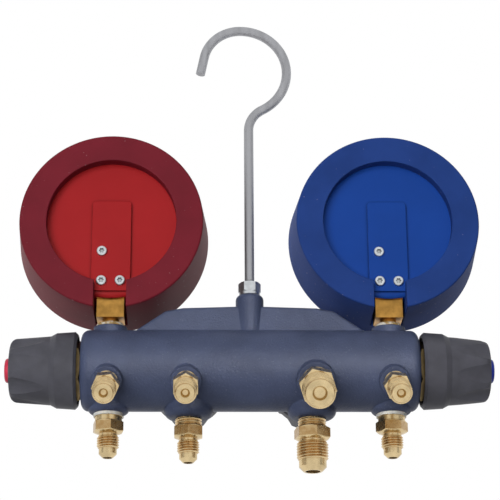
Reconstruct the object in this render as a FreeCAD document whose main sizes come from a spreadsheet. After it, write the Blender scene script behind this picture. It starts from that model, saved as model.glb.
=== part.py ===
import FreeCAD, Part
import math
import os
import re

import Sketcher

# Four valve charging manifold with two dial gauges, a hanging hook and hose parking posts.
# X runs along the barrel with the high pressure side at +X, the dials face -Y and +Z is up.
# The origin is the point of the hook's inner face straight above the middle of the barrel.

os.makedirs("parts", exist_ok=True)
doc = FreeCAD.newDocument("charging_manifold")

# Driving dimensions in millimetres, angles in degrees

SIZES = {
    # Barrel and casting
    "seat_height": 189.4,
    "barrel_radius": 20.6,
    "barrel_half_length": 85.0,
    "barrel_end_round": 4.0,
    "outer_inset": 14.0,
    "inner_station": 31.0,
    "inner_post_station": 32.1,
    "gauge_boss_radius": 8.6,
    "gauge_boss_top": 22.4,
    "outer_boss_radius": 10.3,
    "outer_boss_drop": 22.5,
    "outer_boss_round": 2.6,
    "inner_boss_radius": 12.3,
    "inner_boss_drop": 25.0,
    "inner_boss_round": 4.2,
    "valve_boss_radius": 15.5,
    "valve_boss_reach": 22.6,
    "park_boss_radius": 7.6,
    "park_boss_wide_radius": 9.6,
    "park_boss_reach": 25.6,
    "web_flat_inset": 37.0,
    "web_shoulder_inset": 28.0,
    "web_foot_inset": 11.0,
    "web_height": 33.6,
    "web_flat_end_height": 32.5,
    "web_shoulder_height": 30.8,
    "web_foot_height": 18.6,
    "web_draft_foot": 16.5,
    "web_top_thickness": 8.0,
    "web_foot_thickness": 12.0,
    "web_edge_round": 1.5,
    "hook_boss_radius": 7.15,
    "hook_boss_top": 40.0,
    "hook_boss_round": 2.6,
    "cut_overrun": 1.0,
    # Galleries inside the casting
    "gallery_radius": 3.0,
    "valve_seat_radius": 2.5,
    "valve_seat_depth": 17.0,
    "chamber_radius": 8.0,
    "passage_radius": 2.2,
    "cross_drill_start": 13.5,
    "cross_drill_angle": 48.0,
    "pipe_hole_depth": 10.0,
    # Valve
    "gland_shank_radius": 11.0,
    "gland_shank_length": 9.0,
    "gland_groove_radius": 9.6,
    "gland_groove_offset": 3.0,
    "gland_groove_width": 1.6,
    "gland_hex_flats": 27.0,
    "gland_hex_height": 5.0,
    "gland_neck_radius": 8.5,
    "gland_top": 12.0,
    "gland_floor": 1.0,
    "running_gap": 0.05,
    "spindle_radius": 5.0,
    "spindle_journal_radius": 4.0,
    "spindle_journal_depth": 4.0,
    "spindle_drive_radius": 4.0,
    "spindle_top": 31.0,
    "piston_radius": 7.0,
    "piston_top_depth": 3.5,
    "piston_guide_length": 5.0,
    "piston_waist_radius": 4.6,
    "piston_waist_taper": 1.0,
    "piston_groove_radius": 5.6,
    "piston_groove_width": 1.5,
    "seat_disc_radius": 4.2,
    "seat_disc_height": 1.6,
    "seat_gap": 0.1,
    # Knob
    "knob_gap": 1.8,
    "knob_length": 34.8,
    "knob_skirt_radius": 19.6,
    "knob_skirt_end_radius": 19.0,
    "knob_lip_chamfer": 1.4,
    "knob_skirt_length": 10.7,
    "knob_step_length": 3.0,
    "knob_grip_radius": 17.4,
    "knob_end_radius": 15.9,
    "knob_end_round": 3.6,
    "knob_crown": 1.2,
    "knob_skirt_wall": 2.4,
    "knob_floor_gap": 1.0,
    "knob_flute_count": 8,
    "knob_flute_radius": 8.0,
    "knob_flute_depth": 2.2,
    "knob_turn_low": 20.0,
    "knob_flute_lift": 0.4,
    "cap_radius": 6.2,
    "cap_seat_depth": 4.0,
    "cap_proud": 2.0,
    "cap_round": 1.4,
    # Quarter inch flare fitting
    "quarter_collar_radius": 6.8,
    "quarter_collar_height": 4.0,
    "quarter_hex_flats": 14.0,
    "quarter_hex_height": 6.3,
    "quarter_neck_radius": 4.9,
    "quarter_neck_height": 1.2,
    "quarter_thread_radius": 5.556,
    "quarter_thread_height": 6.7,
    "quarter_nose_radius": 4.75,
    "quarter_nose_height": 2.6,
    "quarter_tip_radius": 3.2,
    "quarter_bore_radius": 2.3,
    "quarter_shank_radius": 5.0,
    # Three eighths inch flare fitting
    "wide_collar_radius": 7.1,
    "wide_collar_height": 4.6,
    "wide_hex_flats": 17.0,
    "wide_hex_height": 6.5,
    "wide_neck_radius": 7.0,
    "wide_neck_height": 0.9,
    "wide_thread_radius": 7.938,
    "wide_thread_height": 9.0,
    "wide_nose_radius": 6.9,
    "wide_nose_height": 3.6,
    "wide_tip_radius": 4.7,
    "wide_bore_radius": 3.7,
    "wide_shank_radius": 6.2,
    "port_turn_charge": 8.0,
    "port_turn_vacuum": 27.0,
    # Hose parking posts
    "park_angle": 27.5,
    "park_collar_height": 6.0,
    "park_hex_height": 7.7,
    "park_thread_height": 13.5,
    "park_hole_depth": 9.0,
    "park_dimple_depth": 1.8,
    "park_dimple_taper": 0.8,
    "park_dimple_point": 0.5,
    "park_undercut": 1.0,
    "park_groove_width": 0.5,
    "park_end_chamfer": 0.8,
    "park_small_hex_flats": 12.0,
    "park_small_collar_radius": 5.6,
    "park_small_dimple_radius": 2.25,
    "park_wide_hex_flats": 16.5,
    "park_wide_collar_radius": 7.6,
    "park_wide_dimple_radius": 3.6,
    "post_turn_high": 6.0,
    "post_turn_charge": 30.0,
    "post_turn_vacuum": 48.0,
    "post_turn_low": 54.0,
    # Hook
    "wire_radius": 2.5,
    "hook_thread_radius": 3.0,
    "hook_thread_top": 48.2,
    "hook_hole_floor": 24.0,
    "hook_foot_gap": 1.0,
    "hook_bend_rise": 33.0,
    "hook_bend_radius": 25.0,
    "hook_bend_offset": 4.35,
    "hook_tip_radius": 17.6,
    "hook_tip_turn": 73.0,
    "hook_tip_length": 16.0,
    "washer_radius": 5.4,
    "washer_height": 1.6,
    "nut_flats": 10.0,
    "nut_height": 5.2,
    # Gauges
    "gauge_height": 75.8,
    "gauge_back": 14.2,
    "boot_back_wall": 7.0,
    "boot_overhang": 1.5,
    "boot_front_wall": 9.75,
    "boot_depth": 33.2,
    "boot_back_cover": 6.7,
    "boot_lip": 4.5,
    "boot_front_lip": 2.0,
    "boot_front_cover": 2.0,
    "boot_edge_round": 0.9,
    "boot_notch_width": 16.5,
    "boot_notch_depth": 24.0,
    "boot_notch_overlap": 3.0,
    "case_radius": 40.0,
    "case_wall": 1.5,
    "case_depth": 21.5,
    "case_back_round": 2.5,
    "case_slot_height": 6.0,
    "panel_width": 20.0,
    "panel_top": 12.2,
    "panel_foot_inset": 3.5,
    "panel_gap": 0.2,
    "panel_height": 1.2,
    "panel_corner": 2.0,
    "screw_head_radius": 2.65,
    "screw_head_height": 1.7,
    "screw_shank_radius": 1.5,
    "screw_length": 8.0,
    "screw_spread": 4.75,
    "screw_low_inset": 8.7,
    "screw_high_inset": 24.6,
    "stem_width": 14.0,
    "stem_bottom": 26.5,
    "stem_rise": 0.7,
    "stem_head_front": 15.0,
    "stem_head_drop": 12.0,
    "stem_neck_radius": 4.2,
    "stem_shank_radius": 5.2,
    "stem_bore_radius": 1.5,
    "tape_thickness": 0.8,
    "tape_height": 1.3,
    "sealant_radius": 7.3,
    "sealant_height": 2.0,
    "tube_radius": 28.0,
    "tube_width": 7.0,
    "tube_thickness": 3.0,
    "tube_centre": 10.5,
    "tube_wall": 0.5,
    "tube_turn": 255.0,
    "plate_half_width": 9.0,
    "plate_upper_length": 10.0,
    "plate_lower_length": 20.0,
    "plate_thickness": 1.0,
    "plate_spacing": 6.0,
    "pillar_radius": 1.4,
    "pillar_inset": 2.1,
    "pinion_teeth": 12,
    "sector_teeth": 96,
    "gear_module": 0.3,
    "gear_thickness": 1.2,
    "gear_level": 17.6,
    "gear_backlash": 0.05,
    "sector_half_angle": 23.0,
    "sector_rest_turn": 17.0,
    "sector_hub_radius": 2.2,
    "sector_hub_gap": 0.5,
    "sector_pin_radius": 0.8,
    "arbor_radius": 0.9,
    "arbor_inset": 0.2,
    "pinion_overhang": 0.4,
    "dial_gap": 0.5,
    "dial_thickness": 0.6,
    "dial_level": 24.6,
    "dial_hole_radius": 2.0,
    "pointer_level": 26.0,
    "pointer_length": 27.0,
    "pointer_tail": 9.0,
    "pointer_width": 2.4,
    "pointer_tip_width": 0.4,
    "pointer_thickness": 0.6,
    "pointer_hub_radius": 3.0,
    "pointer_hub_height": 1.4,
    "pointer_hub_drop": 0.4,
    "pointer_zero": 225.0,
    "window_inset": 1.4,
    "window_level": 28.4,
    "window_thickness": 1.8,
    "bezel_overhang": 1.0,
    "bezel_lip": 3.2,
    "bezel_level": 26.0,
}

sheet = doc.addObject("Spreadsheet::Sheet", "Sizes")
for row, (alias, size) in enumerate(SIZES.items(), 1):
    sheet.set(f"A{row}", alias)
    sheet.set(f"B{row}", str(size))
    sheet.setAlias(f"B{row}", alias)
doc.recompute()

NAME = re.compile(r"[a-z_]+[a-z]")

# Edges nearer than this to where they are looked for are the ones meant
TOUCH = 0.01


def formula(text):
    """Point every size named in a formula at its cell."""
    return NAME.sub(lambda word: "Sizes." * (word.group() in SIZES) + word.group(), text)


def number(text):
    """Work out a formula's present value, for the first shape of a sketch."""
    result = sheet.evalExpression(formula(text))
    return float(getattr(result, "Value", result))


def bind(item, **formulas):
    """Tie properties of an object to formulas of the sheet's sizes."""
    for name, text in formulas.items():
        item.setExpression(name, formula(text))


# Which way the axis of a turned piece points, as a turning axis and an angle about it

FACINGS = {
    "up": ((1, 0, 0), "0"),
    "down": ((1, 0, 0), "180"),
    "right": ((0, 1, 0), "90"),
    "left": ((0, -1, 0), "90"),
    "front": ((1, 0, 0), "90"),
    "rear": ((-1, 0, 0), "90"),
    "park": ((-1, 0, 0), "90 + park_angle"),
    "cross": ((1, 0, 0), "cross_drill_angle"),
}

AXIS = {"right": (1, 0, 0), "left": (-1, 0, 0), "front": (0, -1, 0), "up": (0, 0, 1), "down": (0, 0, -1)}


def place(item, at, facing="up"):
    """Put an object at three formulas, with its own Z axis turned to a facing."""
    axis, angle = FACINGS[facing]
    turn = FreeCAD.Rotation(FreeCAD.Vector(*axis), number(angle))
    spot = FreeCAD.Vector(*[number(text) for text in at])
    item.Placement = FreeCAD.Placement(spot, turn)
    for letter, text in zip("xyz", at):
        item.setExpression(f"Placement.Base.{letter}", formula(text))
    if "_" in angle:
        item.setExpression("Placement.Rotation.Angle", formula(angle))
    return item


def cylinder(name, radius, height, at=("0", "0", "0"), facing="up"):
    item = doc.addObject("Part::Cylinder", name)
    bind(item, Radius=radius, Height=height)
    return place(item, at, facing)


def cone(name, low_radius, high_radius, height, at=("0", "0", "0"), facing="up"):
    item = doc.addObject("Part::Cone", name)
    bind(item, Radius1=low_radius, Radius2=high_radius, Height=height)
    return place(item, at, facing)


def block(name, length, width, height, at):
    item = doc.addObject("Part::Box", name)
    bind(item, Length=length, Width=width, Height=height)
    return place(item, at)


def hexagon(name, flats, height, at=("0", "0", "0"), facing="up"):
    item = doc.addObject("Part::Prism", name)
    item.Polygon = 6
    bind(item, Circumradius=f"({flats}) / 2 / cos(30deg)", Height=height)
    return place(item, at, facing)


def fuse(name, *pieces):
    item = doc.addObject("Part::MultiFuse", name)
    item.Shapes = pieces
    item.Refine = True
    return item


def cut(name, base, *tools):
    item = doc.addObject("Part::Cut", name)
    item.Base = base
    item.Tool = tools[0] if len(tools) == 1 else fuse(f"{name}_tools", *tools)
    return item


def common(name, first, second):
    item = doc.addObject("Part::Common", name)
    item.Base = first
    item.Tool = second
    return item


def group(name, *pieces):
    item = doc.addObject("Part::Compound", name)
    item.Links = pieces
    return item


def plane_sketch(body, name, role="XZ_Plane"):
    """Start a sketch on one of the body's own origin planes."""
    sketch = body.newObject("Sketcher::SketchObject", name)
    plane = [item for item in body.Origin.OriginFeatures if item.Role == role][0]
    sketch.AttachmentSupport = [(plane, "")]
    sketch.MapMode = "FlatFace"
    return sketch


def hold(sketch, kind, edge, end, text):
    """Hold an edge's end at a formula's distance from the sketch's origin."""
    value = number(text)
    if text == "0":
        axis = -2 if kind == "DistanceX" else -1
        sketch.addConstraint(Sketcher.Constraint("PointOnObject", edge, end, axis))
        return
    index = sketch.addConstraint(Sketcher.Constraint(kind, -1, 1, edge, end, value))
    sketch.setExpression(f"Constraints[{index}]", formula(text))


def closed_outline(sketch, corners):
    """Draw a closed outline of straight edges through corners given as formulas."""
    points = [FreeCAD.Vector(number(across), number(along), 0) for across, along in corners]
    count = len(points)
    edges = [Part.LineSegment(points[i], points[(i + 1) % count]) for i in range(count)]
    sketch.addGeometry(edges, False)
    for i, (across, along) in enumerate(corners):
        sketch.addConstraint(Sketcher.Constraint("Coincident", i - 1 if i else count - 1, 2, i, 1))
        hold(sketch, "DistanceX", i, 1, across)
        hold(sketch, "DistanceY", i, 1, along)


def turned(name, corners, at=("0", "0", "0"), facing="up", rounds=()):
    """Turn an outline of (radius, height) corners about the piece's own axis.

    Each of rounds is a radius, a height and a fillet size: the circular edge there is rounded.
    """
    body = doc.addObject("PartDesign::Body", name)
    sketch = plane_sketch(body, f"{name}_outline")
    closed_outline(sketch, corners)
    turn = body.newObject("PartDesign::Revolution", f"{name}_turn")
    turn.Profile = sketch
    turn.ReferenceAxis = (sketch, ["V_Axis"])
    turn.Angle = 360
    for order, (radius, height, size) in enumerate(rounds):
        doc.recompute()
        round_edge(body, f"{name}_round_{order}", body.Tip, number(radius), number(height), size)
    return place(body, at, facing)


def round_edge(body, name, base, radius, height, size):
    """Fillet the circular edges of a radius at a height of the piece's own axis."""
    def wanted(edge):
        circle = isinstance(edge.Curve, Part.Circle)
        return circle and math.hypot(edge.Curve.Radius - radius, edge.Curve.Center.z - height) < TOUCH
    names = [f"Edge{i}" for i, edge in enumerate(base.Shape.Edges, 1) if wanted(edge)]
    if not names:
        raise ValueError(f"{name}: no edge of radius {radius} at {height}")
    item = body.newObject("PartDesign::Fillet", name)
    item.Base = (base, names)
    bind(item, Radius=size)
    return item


nodes = []


def node(item, label):
    """Name a finished sub-part and put it on the list that is written out."""
    item.Label = label
    nodes.append(item)
    return item


AXIS_LEVEL = "-seat_height"

# Stations along the barrel that the outer ports, posts and gauges share

OUTER = "(barrel_half_length - outer_inset)"

# Radii that follow the gauge case

BEZEL_RADIUS = "(case_radius + bezel_overhang)"
BEZEL_OPENING = "(case_radius - bezel_lip)"
WINDOW_RADIUS = "(case_radius - window_inset)"
BOOT_FRONT_RADIUS = "(case_radius + boot_front_wall)"
BOOT_OPENING_RADIUS = "(case_radius - boot_back_cover)"
PANEL_FOOT = "(case_radius - panel_foot_inset)"
STEM_SHELF = "(gauge_height - case_radius + stem_rise)"


# Where the four valves stand: name, X station, and which way the knob faces

VALVES = {
    "high": ("barrel_half_length", "0", "right"),
    "low": ("-barrel_half_length", "0", "left"),
    "charge": ("inner_station", "-valve_boss_reach", "front"),
    "vacuum": ("-inner_station", "-valve_boss_reach", "front"),
}


def ahead(base, facing, step):
    """Formulas of the point a step from the base, the way a piece faces."""
    if facing == "park":
        rear, drop = f"({step}) * cos(park_angle * 1deg)", f"({step}) * sin(park_angle * 1deg)"
        return (base[0], f"{base[1]} + {rear}", f"{base[2]} - {drop}")
    return tuple(f"{text} + {way} * ({step})" if way else text for text, way in zip(base, AXIS[facing]))


def along(valve, height):
    """Formulas of the point at a height above a valve's face, along its axis."""
    x, y, facing = VALVES[valve]
    return ahead((x, y, AXIS_LEVEL), facing, height)


# Flare fittings at the bottom: X station, boss drop below the axis, and size

PORTS = {
    "high": (OUTER, "outer_boss_drop", "quarter"),
    "charge": ("inner_station", "inner_boss_drop", "quarter"),
    "vacuum": ("-inner_station", "inner_boss_drop", "wide"),
    "low": (f"-{OUTER}", "outer_boss_drop", "quarter"),
}

# Parking posts at the rear: X station and size

POSTS = {
    "high": (OUTER, "small"),
    "charge": ("inner_post_station", "small"),
    "vacuum": ("-inner_post_station", "wide"),
    "low": (f"-{OUTER}", "small"),
}

POST_THREAD = {"small": "quarter_thread_radius", "wide": "wide_thread_radius"}
POST_BOSS = {"small": "park_boss_radius", "wide": "park_boss_wide_radius"}

GAUGES = {"high": OUTER, "low": f"-{OUTER}"}

# How far a port's hexagon stands turned from having a corner to each side

HEX_TURNS = {"charge": "port_turn_charge", "vacuum": "port_turn_vacuum"}

# The screws in a gauge's back: across, and up from the gauge's middle

SCREWS = [
    ("screw_spread", "screw_low_inset - case_radius"),
    ("-screw_spread", "screw_low_inset - case_radius"),
    ("screw_spread", "screw_high_inset - case_radius"),
]


def park_point(station, reach):
    """Formulas of the point at a reach from the barrel's axis, along a parking post."""
    return ahead((station, "0", AXIS_LEVEL), "park", reach)


def spin(item, angle, facing):
    """Turn a piece about its own axis, on top of the way it faces."""
    (x, y, z), lean = FACINGS[facing]
    faced = f"create(<<rotation>>; create(<<vector>>; {x}; {y}; {z}); {lean})"
    turn = f"create(<<rotation>>; create(<<vector>>; 0; 0; 1); {angle})"
    item.setExpression("Placement.Rotation.Angle", None)
    item.setExpression("Placement.Rotation", formula(f"{faced} * {turn}"))


def web():
    """The bridge between the gauges: an arched outline, thicker at the foot than at the top."""
    flat = f"({OUTER} - web_flat_inset)"
    shoulder = f"({OUTER} - web_shoulder_inset)"
    foot = f"({OUTER} - web_foot_inset)"
    body = doc.addObject("PartDesign::Body", "web_plate")
    sketch = plane_sketch(body, "web_outline")
    closed_outline(sketch, [
        (f"-{foot}", "0"),
        (foot, "0"),
        (foot, "web_foot_height"),
        (shoulder, "web_shoulder_height"),
        (flat, "web_flat_end_height"),
        ("0", "web_height"),
        (f"-{flat}", "web_flat_end_height"),
        (f"-{shoulder}", "web_shoulder_height"),
        (f"-{foot}", "web_foot_height"),
    ])
    pad = body.newObject("PartDesign::Pad", "web_pad")
    pad.Profile = sketch
    pad.Midplane = True
    bind(pad, Length="web_foot_thickness")
    place(body, ("0", "0", AXIS_LEVEL))

    draft = doc.addObject("Part::Wedge", "web_draft")
    half, top = "web_foot_thickness / 2", "web_top_thickness / 2"
    bind(draft, Xmin=f"-{foot}", Xmax=foot, X2min=f"-{foot}", X2max=foot,
         Ymin="web_draft_foot", Ymax="web_height", Zmin=f"-{half}", Zmax=half, Z2min=f"-{top}", Z2max=top)
    place(draft, ("0", "0", AXIS_LEVEL), "front")
    sharp = common("web_sharp", body, draft)
    doc.recompute()
    rounded = doc.addObject("Part::Fillet", "web")
    rounded.Base = sharp
    low, size = number(f"{AXIS_LEVEL} + web_foot_height"), number("web_edge_round")
    rounded.Edges = [(i, size, size) for i, edge in enumerate(sharp.Shape.Edges, 1)
                     if edge.BoundBox.XLength > size and edge.BoundBox.ZMax > low + size]
    return rounded


def manifold_body():
    """The casting: barrel, web, hook boss, port, valve and post bosses, and every gallery."""
    barrel = turned("barrel", [
        ("0", "-barrel_half_length"),
        ("barrel_radius", "-barrel_half_length"),
        ("barrel_radius", "barrel_half_length"),
        ("0", "barrel_half_length"),
    ], ("0", "0", AXIS_LEVEL), "right", rounds=[
        ("barrel_radius", "barrel_half_length", "barrel_end_round"),
        ("barrel_radius", "-barrel_half_length", "barrel_end_round"),
    ])
    solids = [barrel, web()]
    solids.append(turned("hook_boss", [
        ("0", "0"),
        ("hook_boss_radius", "0"),
        ("hook_boss_radius", "hook_boss_top"),
        ("0", "hook_boss_top"),
    ], ("0", "0", AXIS_LEVEL), rounds=[("hook_boss_radius", "hook_boss_top", "hook_boss_round")]))
    holes = [
        cylinder("gallery", "gallery_radius", "2 * (barrel_half_length - valve_seat_depth + cut_overrun)",
                 ("-(barrel_half_length - valve_seat_depth + cut_overrun)", "0", AXIS_LEVEL), "right"),
        cylinder("hook_hole", "hook_thread_radius", "hook_boss_top - hook_hole_floor + cut_overrun",
                 ("0", "0", f"{AXIS_LEVEL} + hook_hole_floor")),
    ]
    for side, station in GAUGES.items():
        solids.append(cylinder(f"gauge_boss_{side}", "gauge_boss_radius", "gauge_boss_top",
                               (station, "0", AXIS_LEVEL)))
        holes.append(cylinder(f"gauge_hole_{side}", "stem_shank_radius", "pipe_hole_depth + cut_overrun",
                              (station, "0", f"{AXIS_LEVEL} + gauge_boss_top - pipe_hole_depth")))
        holes.append(cylinder(f"gauge_passage_{side}", "passage_radius", "gauge_boss_top",
                              (station, "0", AXIS_LEVEL)))
    for name, (station, drop, size) in PORTS.items():
        boss = "outer_boss" if name in GAUGES else "inner_boss"
        solids.append(turned(f"port_boss_{name}", [
            ("0", "0"),
            (f"{boss}_radius", "0"),
            (f"{boss}_radius", drop),
            ("0", drop),
        ], (station, "0", AXIS_LEVEL), "down", rounds=[(f"{boss}_radius", drop, f"{boss}_round")]))
        holes.append(cylinder(f"port_hole_{name}", f"{size}_shank_radius", "pipe_hole_depth + cut_overrun",
                              (station, "0", f"{AXIS_LEVEL} - {drop} - cut_overrun")))
        if name in GAUGES:
            holes.append(cylinder(f"port_passage_{name}", "passage_radius", drop,
                                  (station, "0", AXIS_LEVEL), "down"))
        else:
            holes.append(cylinder(f"cross_drill_{name}", "passage_radius", "valve_seat_depth",
                                  (station, "0", f"{AXIS_LEVEL} - cross_drill_start"), "cross"))
    for name, (station, size) in POSTS.items():
        solids.append(cylinder(f"park_boss_{name}", POST_BOSS[size], "park_boss_reach",
                               (station, "0", AXIS_LEVEL), "park"))
        holes.append(cylinder(f"park_hole_{name}", f"park_{size}_collar_radius - park_undercut",
                              "park_hole_depth + cut_overrun",
                              park_point(station, "park_boss_reach - park_hole_depth"), "park"))
    for name, (_, _, facing) in VALVES.items():
        if facing == "front":
            solids.append(cylinder(f"valve_boss_{name}", "valve_boss_radius", "valve_boss_reach",
                                   (VALVES[name][0], "0", AXIS_LEVEL), "front"))
            holes.append(cylinder(f"valve_seat_{name}", "valve_seat_radius", "valve_boss_reach",
                                  (VALVES[name][0], "0", AXIS_LEVEL), "front"))
        holes.append(cylinder(f"valve_chamber_{name}", "chamber_radius", "valve_seat_depth + cut_overrun",
                              along(name, "-valve_seat_depth"), facing))
        holes.append(cylinder(f"valve_thread_{name}", "gland_shank_radius",
                              "gland_shank_length + cut_overrun",
                              along(name, "-gland_shank_length"), facing))
    casting = fuse("casting", *solids)
    node(cut("manifold_body", casting, *holes), "manifold_body")


def valve(name):
    """One screw-down valve: gland, spindle, piston, its seals, knob and cap."""
    _, _, facing = VALVES[name]
    base = along(name, "0")
    bore = "piston_radius + running_gap"
    shell = turned(f"gland_shell_{name}", [
        (bore, "-gland_shank_length"),
        ("gland_shank_radius", "-gland_shank_length"),
        ("gland_shank_radius", "-gland_groove_offset - gland_groove_width"),
        ("gland_groove_radius", "-gland_groove_offset - gland_groove_width"),
        ("gland_groove_radius", "-gland_groove_offset"),
        ("gland_shank_radius", "-gland_groove_offset"),
        ("gland_shank_radius", "gland_hex_height"),
        ("gland_neck_radius", "gland_hex_height"),
        ("gland_neck_radius", "gland_top"),
        ("spindle_radius + running_gap", "gland_top"),
        ("spindle_radius + running_gap", "gland_floor"),
        (bore, "gland_floor"),
    ], base, facing)
    nut = chamfered_hexagon(f"gland_{name}", "gland_hex_flats", "0", "gland_hex_height",
                            "gland_neck_radius", base, facing)
    node(fuse(f"valve_gland_{name}", shell, nut), f"valve_gland_{name}")

    journal_end = "-piston_top_depth - spindle_journal_depth"
    node(turned(f"valve_spindle_{name}", [
        ("0", f"{journal_end} + running_gap"),
        ("spindle_journal_radius", f"{journal_end} + running_gap"),
        ("spindle_journal_radius", "-piston_top_depth + running_gap"),
        ("spindle_radius", "-piston_top_depth + running_gap"),
        ("spindle_radius", "gland_top"),
        ("spindle_drive_radius", "gland_top"),
        ("spindle_drive_radius", "spindle_top"),
        ("0", "spindle_top"),
    ], base, facing), f"valve_spindle_{name}")

    tip = "-valve_seat_depth + seat_gap"
    guide_end = "-piston_top_depth - piston_guide_length"
    groove_top = "-piston_top_depth - (piston_guide_length - piston_groove_width) / 2"
    node(turned(f"valve_piston_{name}", [
        ("0", f"{tip} + seat_disc_height"),
        ("seat_disc_radius", f"{tip} + seat_disc_height"),
        ("piston_waist_radius", f"{tip} + seat_disc_height + piston_waist_taper"),
        ("piston_waist_radius", guide_end),
        ("piston_radius", guide_end),
        ("piston_radius", f"{groove_top} - piston_groove_width"),
        ("piston_groove_radius", f"{groove_top} - piston_groove_width"),
        ("piston_groove_radius", groove_top),
        ("piston_radius", groove_top),
        ("piston_radius", "-piston_top_depth"),
        ("spindle_journal_radius + running_gap", "-piston_top_depth"),
        ("spindle_journal_radius + running_gap", journal_end),
        ("0", journal_end),
    ], base, facing), f"valve_piston_{name}")

    ring_radius = "(piston_radius - piston_groove_radius) / 2"
    ring = doc.addObject("Part::Torus", f"piston_ring_{name}")
    bind(ring, Radius1="(piston_radius + piston_groove_radius) / 2", Radius2=ring_radius)
    place(ring, along(name, f"{groove_top} - piston_groove_width / 2"), facing)
    disc = cylinder(f"seat_disc_{name}", "seat_disc_radius", "seat_disc_height", along(name, tip), facing)
    node(group(f"piston_seals_{name}", ring, disc), f"piston_seals_{name}")

    knob(name, base, facing)

    cap_floor = "knob_gap + knob_length - cap_seat_depth"
    cap_top = "knob_gap + knob_length + cap_proud"
    node(turned(f"knob_cap_{name}", [
        ("0", cap_floor),
        ("cap_radius", cap_floor),
        ("cap_radius", cap_top),
        ("0", cap_top),
    ], base, facing, rounds=[("cap_radius", cap_top, "cap_round")]), f"knob_cap_{name}")


def knob(name, base, facing):
    """A hollow skirted knob with a fluted, tapering grip and a round recess for its cap."""
    end = "knob_gap + knob_length"
    shoulder = "knob_gap + knob_skirt_length"
    hollow = "gland_top + knob_floor_gap"
    body = turned(f"knob_{name}", [
        ("knob_skirt_radius - knob_skirt_wall", "knob_gap"),
        ("knob_skirt_radius - knob_lip_chamfer", "knob_gap"),
        ("knob_skirt_radius", "knob_gap + knob_lip_chamfer"),
        ("knob_skirt_end_radius", shoulder),
        ("knob_grip_radius", f"{shoulder} + knob_step_length"),
        ("knob_end_radius", f"{end} - knob_crown"),
        ("cap_radius", end),
        ("cap_radius", f"{end} - cap_seat_depth"),
        ("spindle_drive_radius", f"{end} - cap_seat_depth"),
        ("spindle_drive_radius", hollow),
        ("knob_skirt_radius - knob_skirt_wall", hollow),
    ], rounds=[
        ("knob_end_radius", f"{end} - knob_crown", "knob_end_round"),
    ])
    doc.recompute()
    step_top = f"{shoulder} + knob_step_length"
    run = f"({end} - knob_end_round - ({step_top}))"
    lean = f"atan((knob_grip_radius - knob_end_radius + knob_flute_lift + knob_flute_depth) / {run})"
    axis_radius = f"knob_grip_radius + knob_flute_lift + knob_flute_radius / cos({lean})"
    flute = body.newObject("PartDesign::SubtractiveCylinder", f"knob_flute_{name}")
    bind(flute, Radius="knob_flute_radius", Height="knob_length")
    flute.Placement = FreeCAD.Placement(
        FreeCAD.Vector(number(axis_radius), 0, number(step_top)),
        FreeCAD.Rotation(FreeCAD.Vector(0, -1, 0), number(lean)))
    flute.setExpression("Placement.Base.x", formula(axis_radius))
    flute.setExpression("Placement.Base.z", formula(step_top))
    flute.setExpression("Placement.Rotation.Angle", formula(lean))
    doc.recompute()
    ring = body.newObject("PartDesign::PolarPattern", f"knob_flutes_{name}")
    ring.Originals = [flute]
    ring.Axis = (body.getObject(f"knob_{name}_outline"), ["V_Axis"])
    ring.Angle = 360
    bind(ring, Occurrences="knob_flute_count")
    body.Tip = ring
    place(body, base, facing)
    if name == "low":
        spin(body, "knob_turn_low", facing)
    node(body, f"knob_{name}")


def gland_seals():
    """One ring in each gland's groove."""
    rings = []
    for name, (_, _, facing) in VALVES.items():
        ring = doc.addObject("Part::Torus", f"gland_ring_{name}")
        bind(ring, Radius1="(gland_shank_radius + gland_groove_radius) / 2",
             Radius2="(gland_shank_radius - gland_groove_radius) / 2")
        place(ring, along(name, "-gland_groove_offset - gland_groove_width / 2"), facing)
        rings.append(ring)
    node(group("gland_seals", *rings), "gland_seals")


def flare_port(name):
    """A male flare fitting: pipe shank, collar, chamfered hexagon, thread and 45 degree nose."""
    station, drop, size = PORTS[name]
    base = (station, "0", f"{AXIS_LEVEL} - {drop}")
    hex_low = f"{size}_collar_height"
    hex_high = f"{hex_low} + {size}_hex_height"
    neck = f"{hex_high} + {size}_neck_height"
    thread = f"{neck} + {size}_thread_height"
    nose = f"{thread} + {size}_nose_height"
    tip = f"{nose} + {size}_nose_radius - {size}_tip_radius"
    turning = turned(f"port_turning_{name}", [
        (f"{size}_bore_radius", "-pipe_hole_depth"),
        (f"{size}_shank_radius", "-pipe_hole_depth"),
        (f"{size}_shank_radius", "0"),
        (f"{size}_collar_radius", "0"),
        (f"{size}_collar_radius", hex_low),
        (f"{size}_neck_radius", hex_low),
        (f"{size}_neck_radius", neck),
        (f"{size}_thread_radius", f"{neck} + {size}_thread_radius - {size}_neck_radius"),
        (f"{size}_thread_radius", thread),
        (f"{size}_nose_radius", thread),
        (f"{size}_nose_radius", nose),
        (f"{size}_tip_radius", tip),
        (f"{size}_bore_radius", tip),
    ], base, "down")
    nut = chamfered_hexagon(f"port_{name}", f"{size}_hex_flats", hex_low, f"{size}_hex_height",
                            f"{size}_bore_radius", base, "down", HEX_TURNS.get(name))
    node(fuse(f"flare_port_{name}", turning, nut), f"flare_port_{name}")


def chamfered_hexagon(name, flats, low, height, bore, base, facing, turn=None):
    """A hexagon with its corners chamfered at both faces and a hole through it."""
    corner = f"{flats} / 2 / cos(30deg)"
    faced = turned(f"{name}_facing", [
        (bore, low),
        (f"{flats} / 2", low),
        (corner, f"{low} + ({corner} - {flats} / 2) / 2"),
        (corner, f"{low} + {height} - ({corner} - {flats} / 2) / 2"),
        (f"{flats} / 2", f"{low} + {height}"),
        (bore, f"{low} + {height}"),
    ], base, facing)
    prism = hexagon(f"{name}_prism", flats, height, ahead(base, facing, low), facing)
    if turn:
        spin(prism, turn, facing)
    return common(f"{name}_hexagon", prism, faced)


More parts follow.
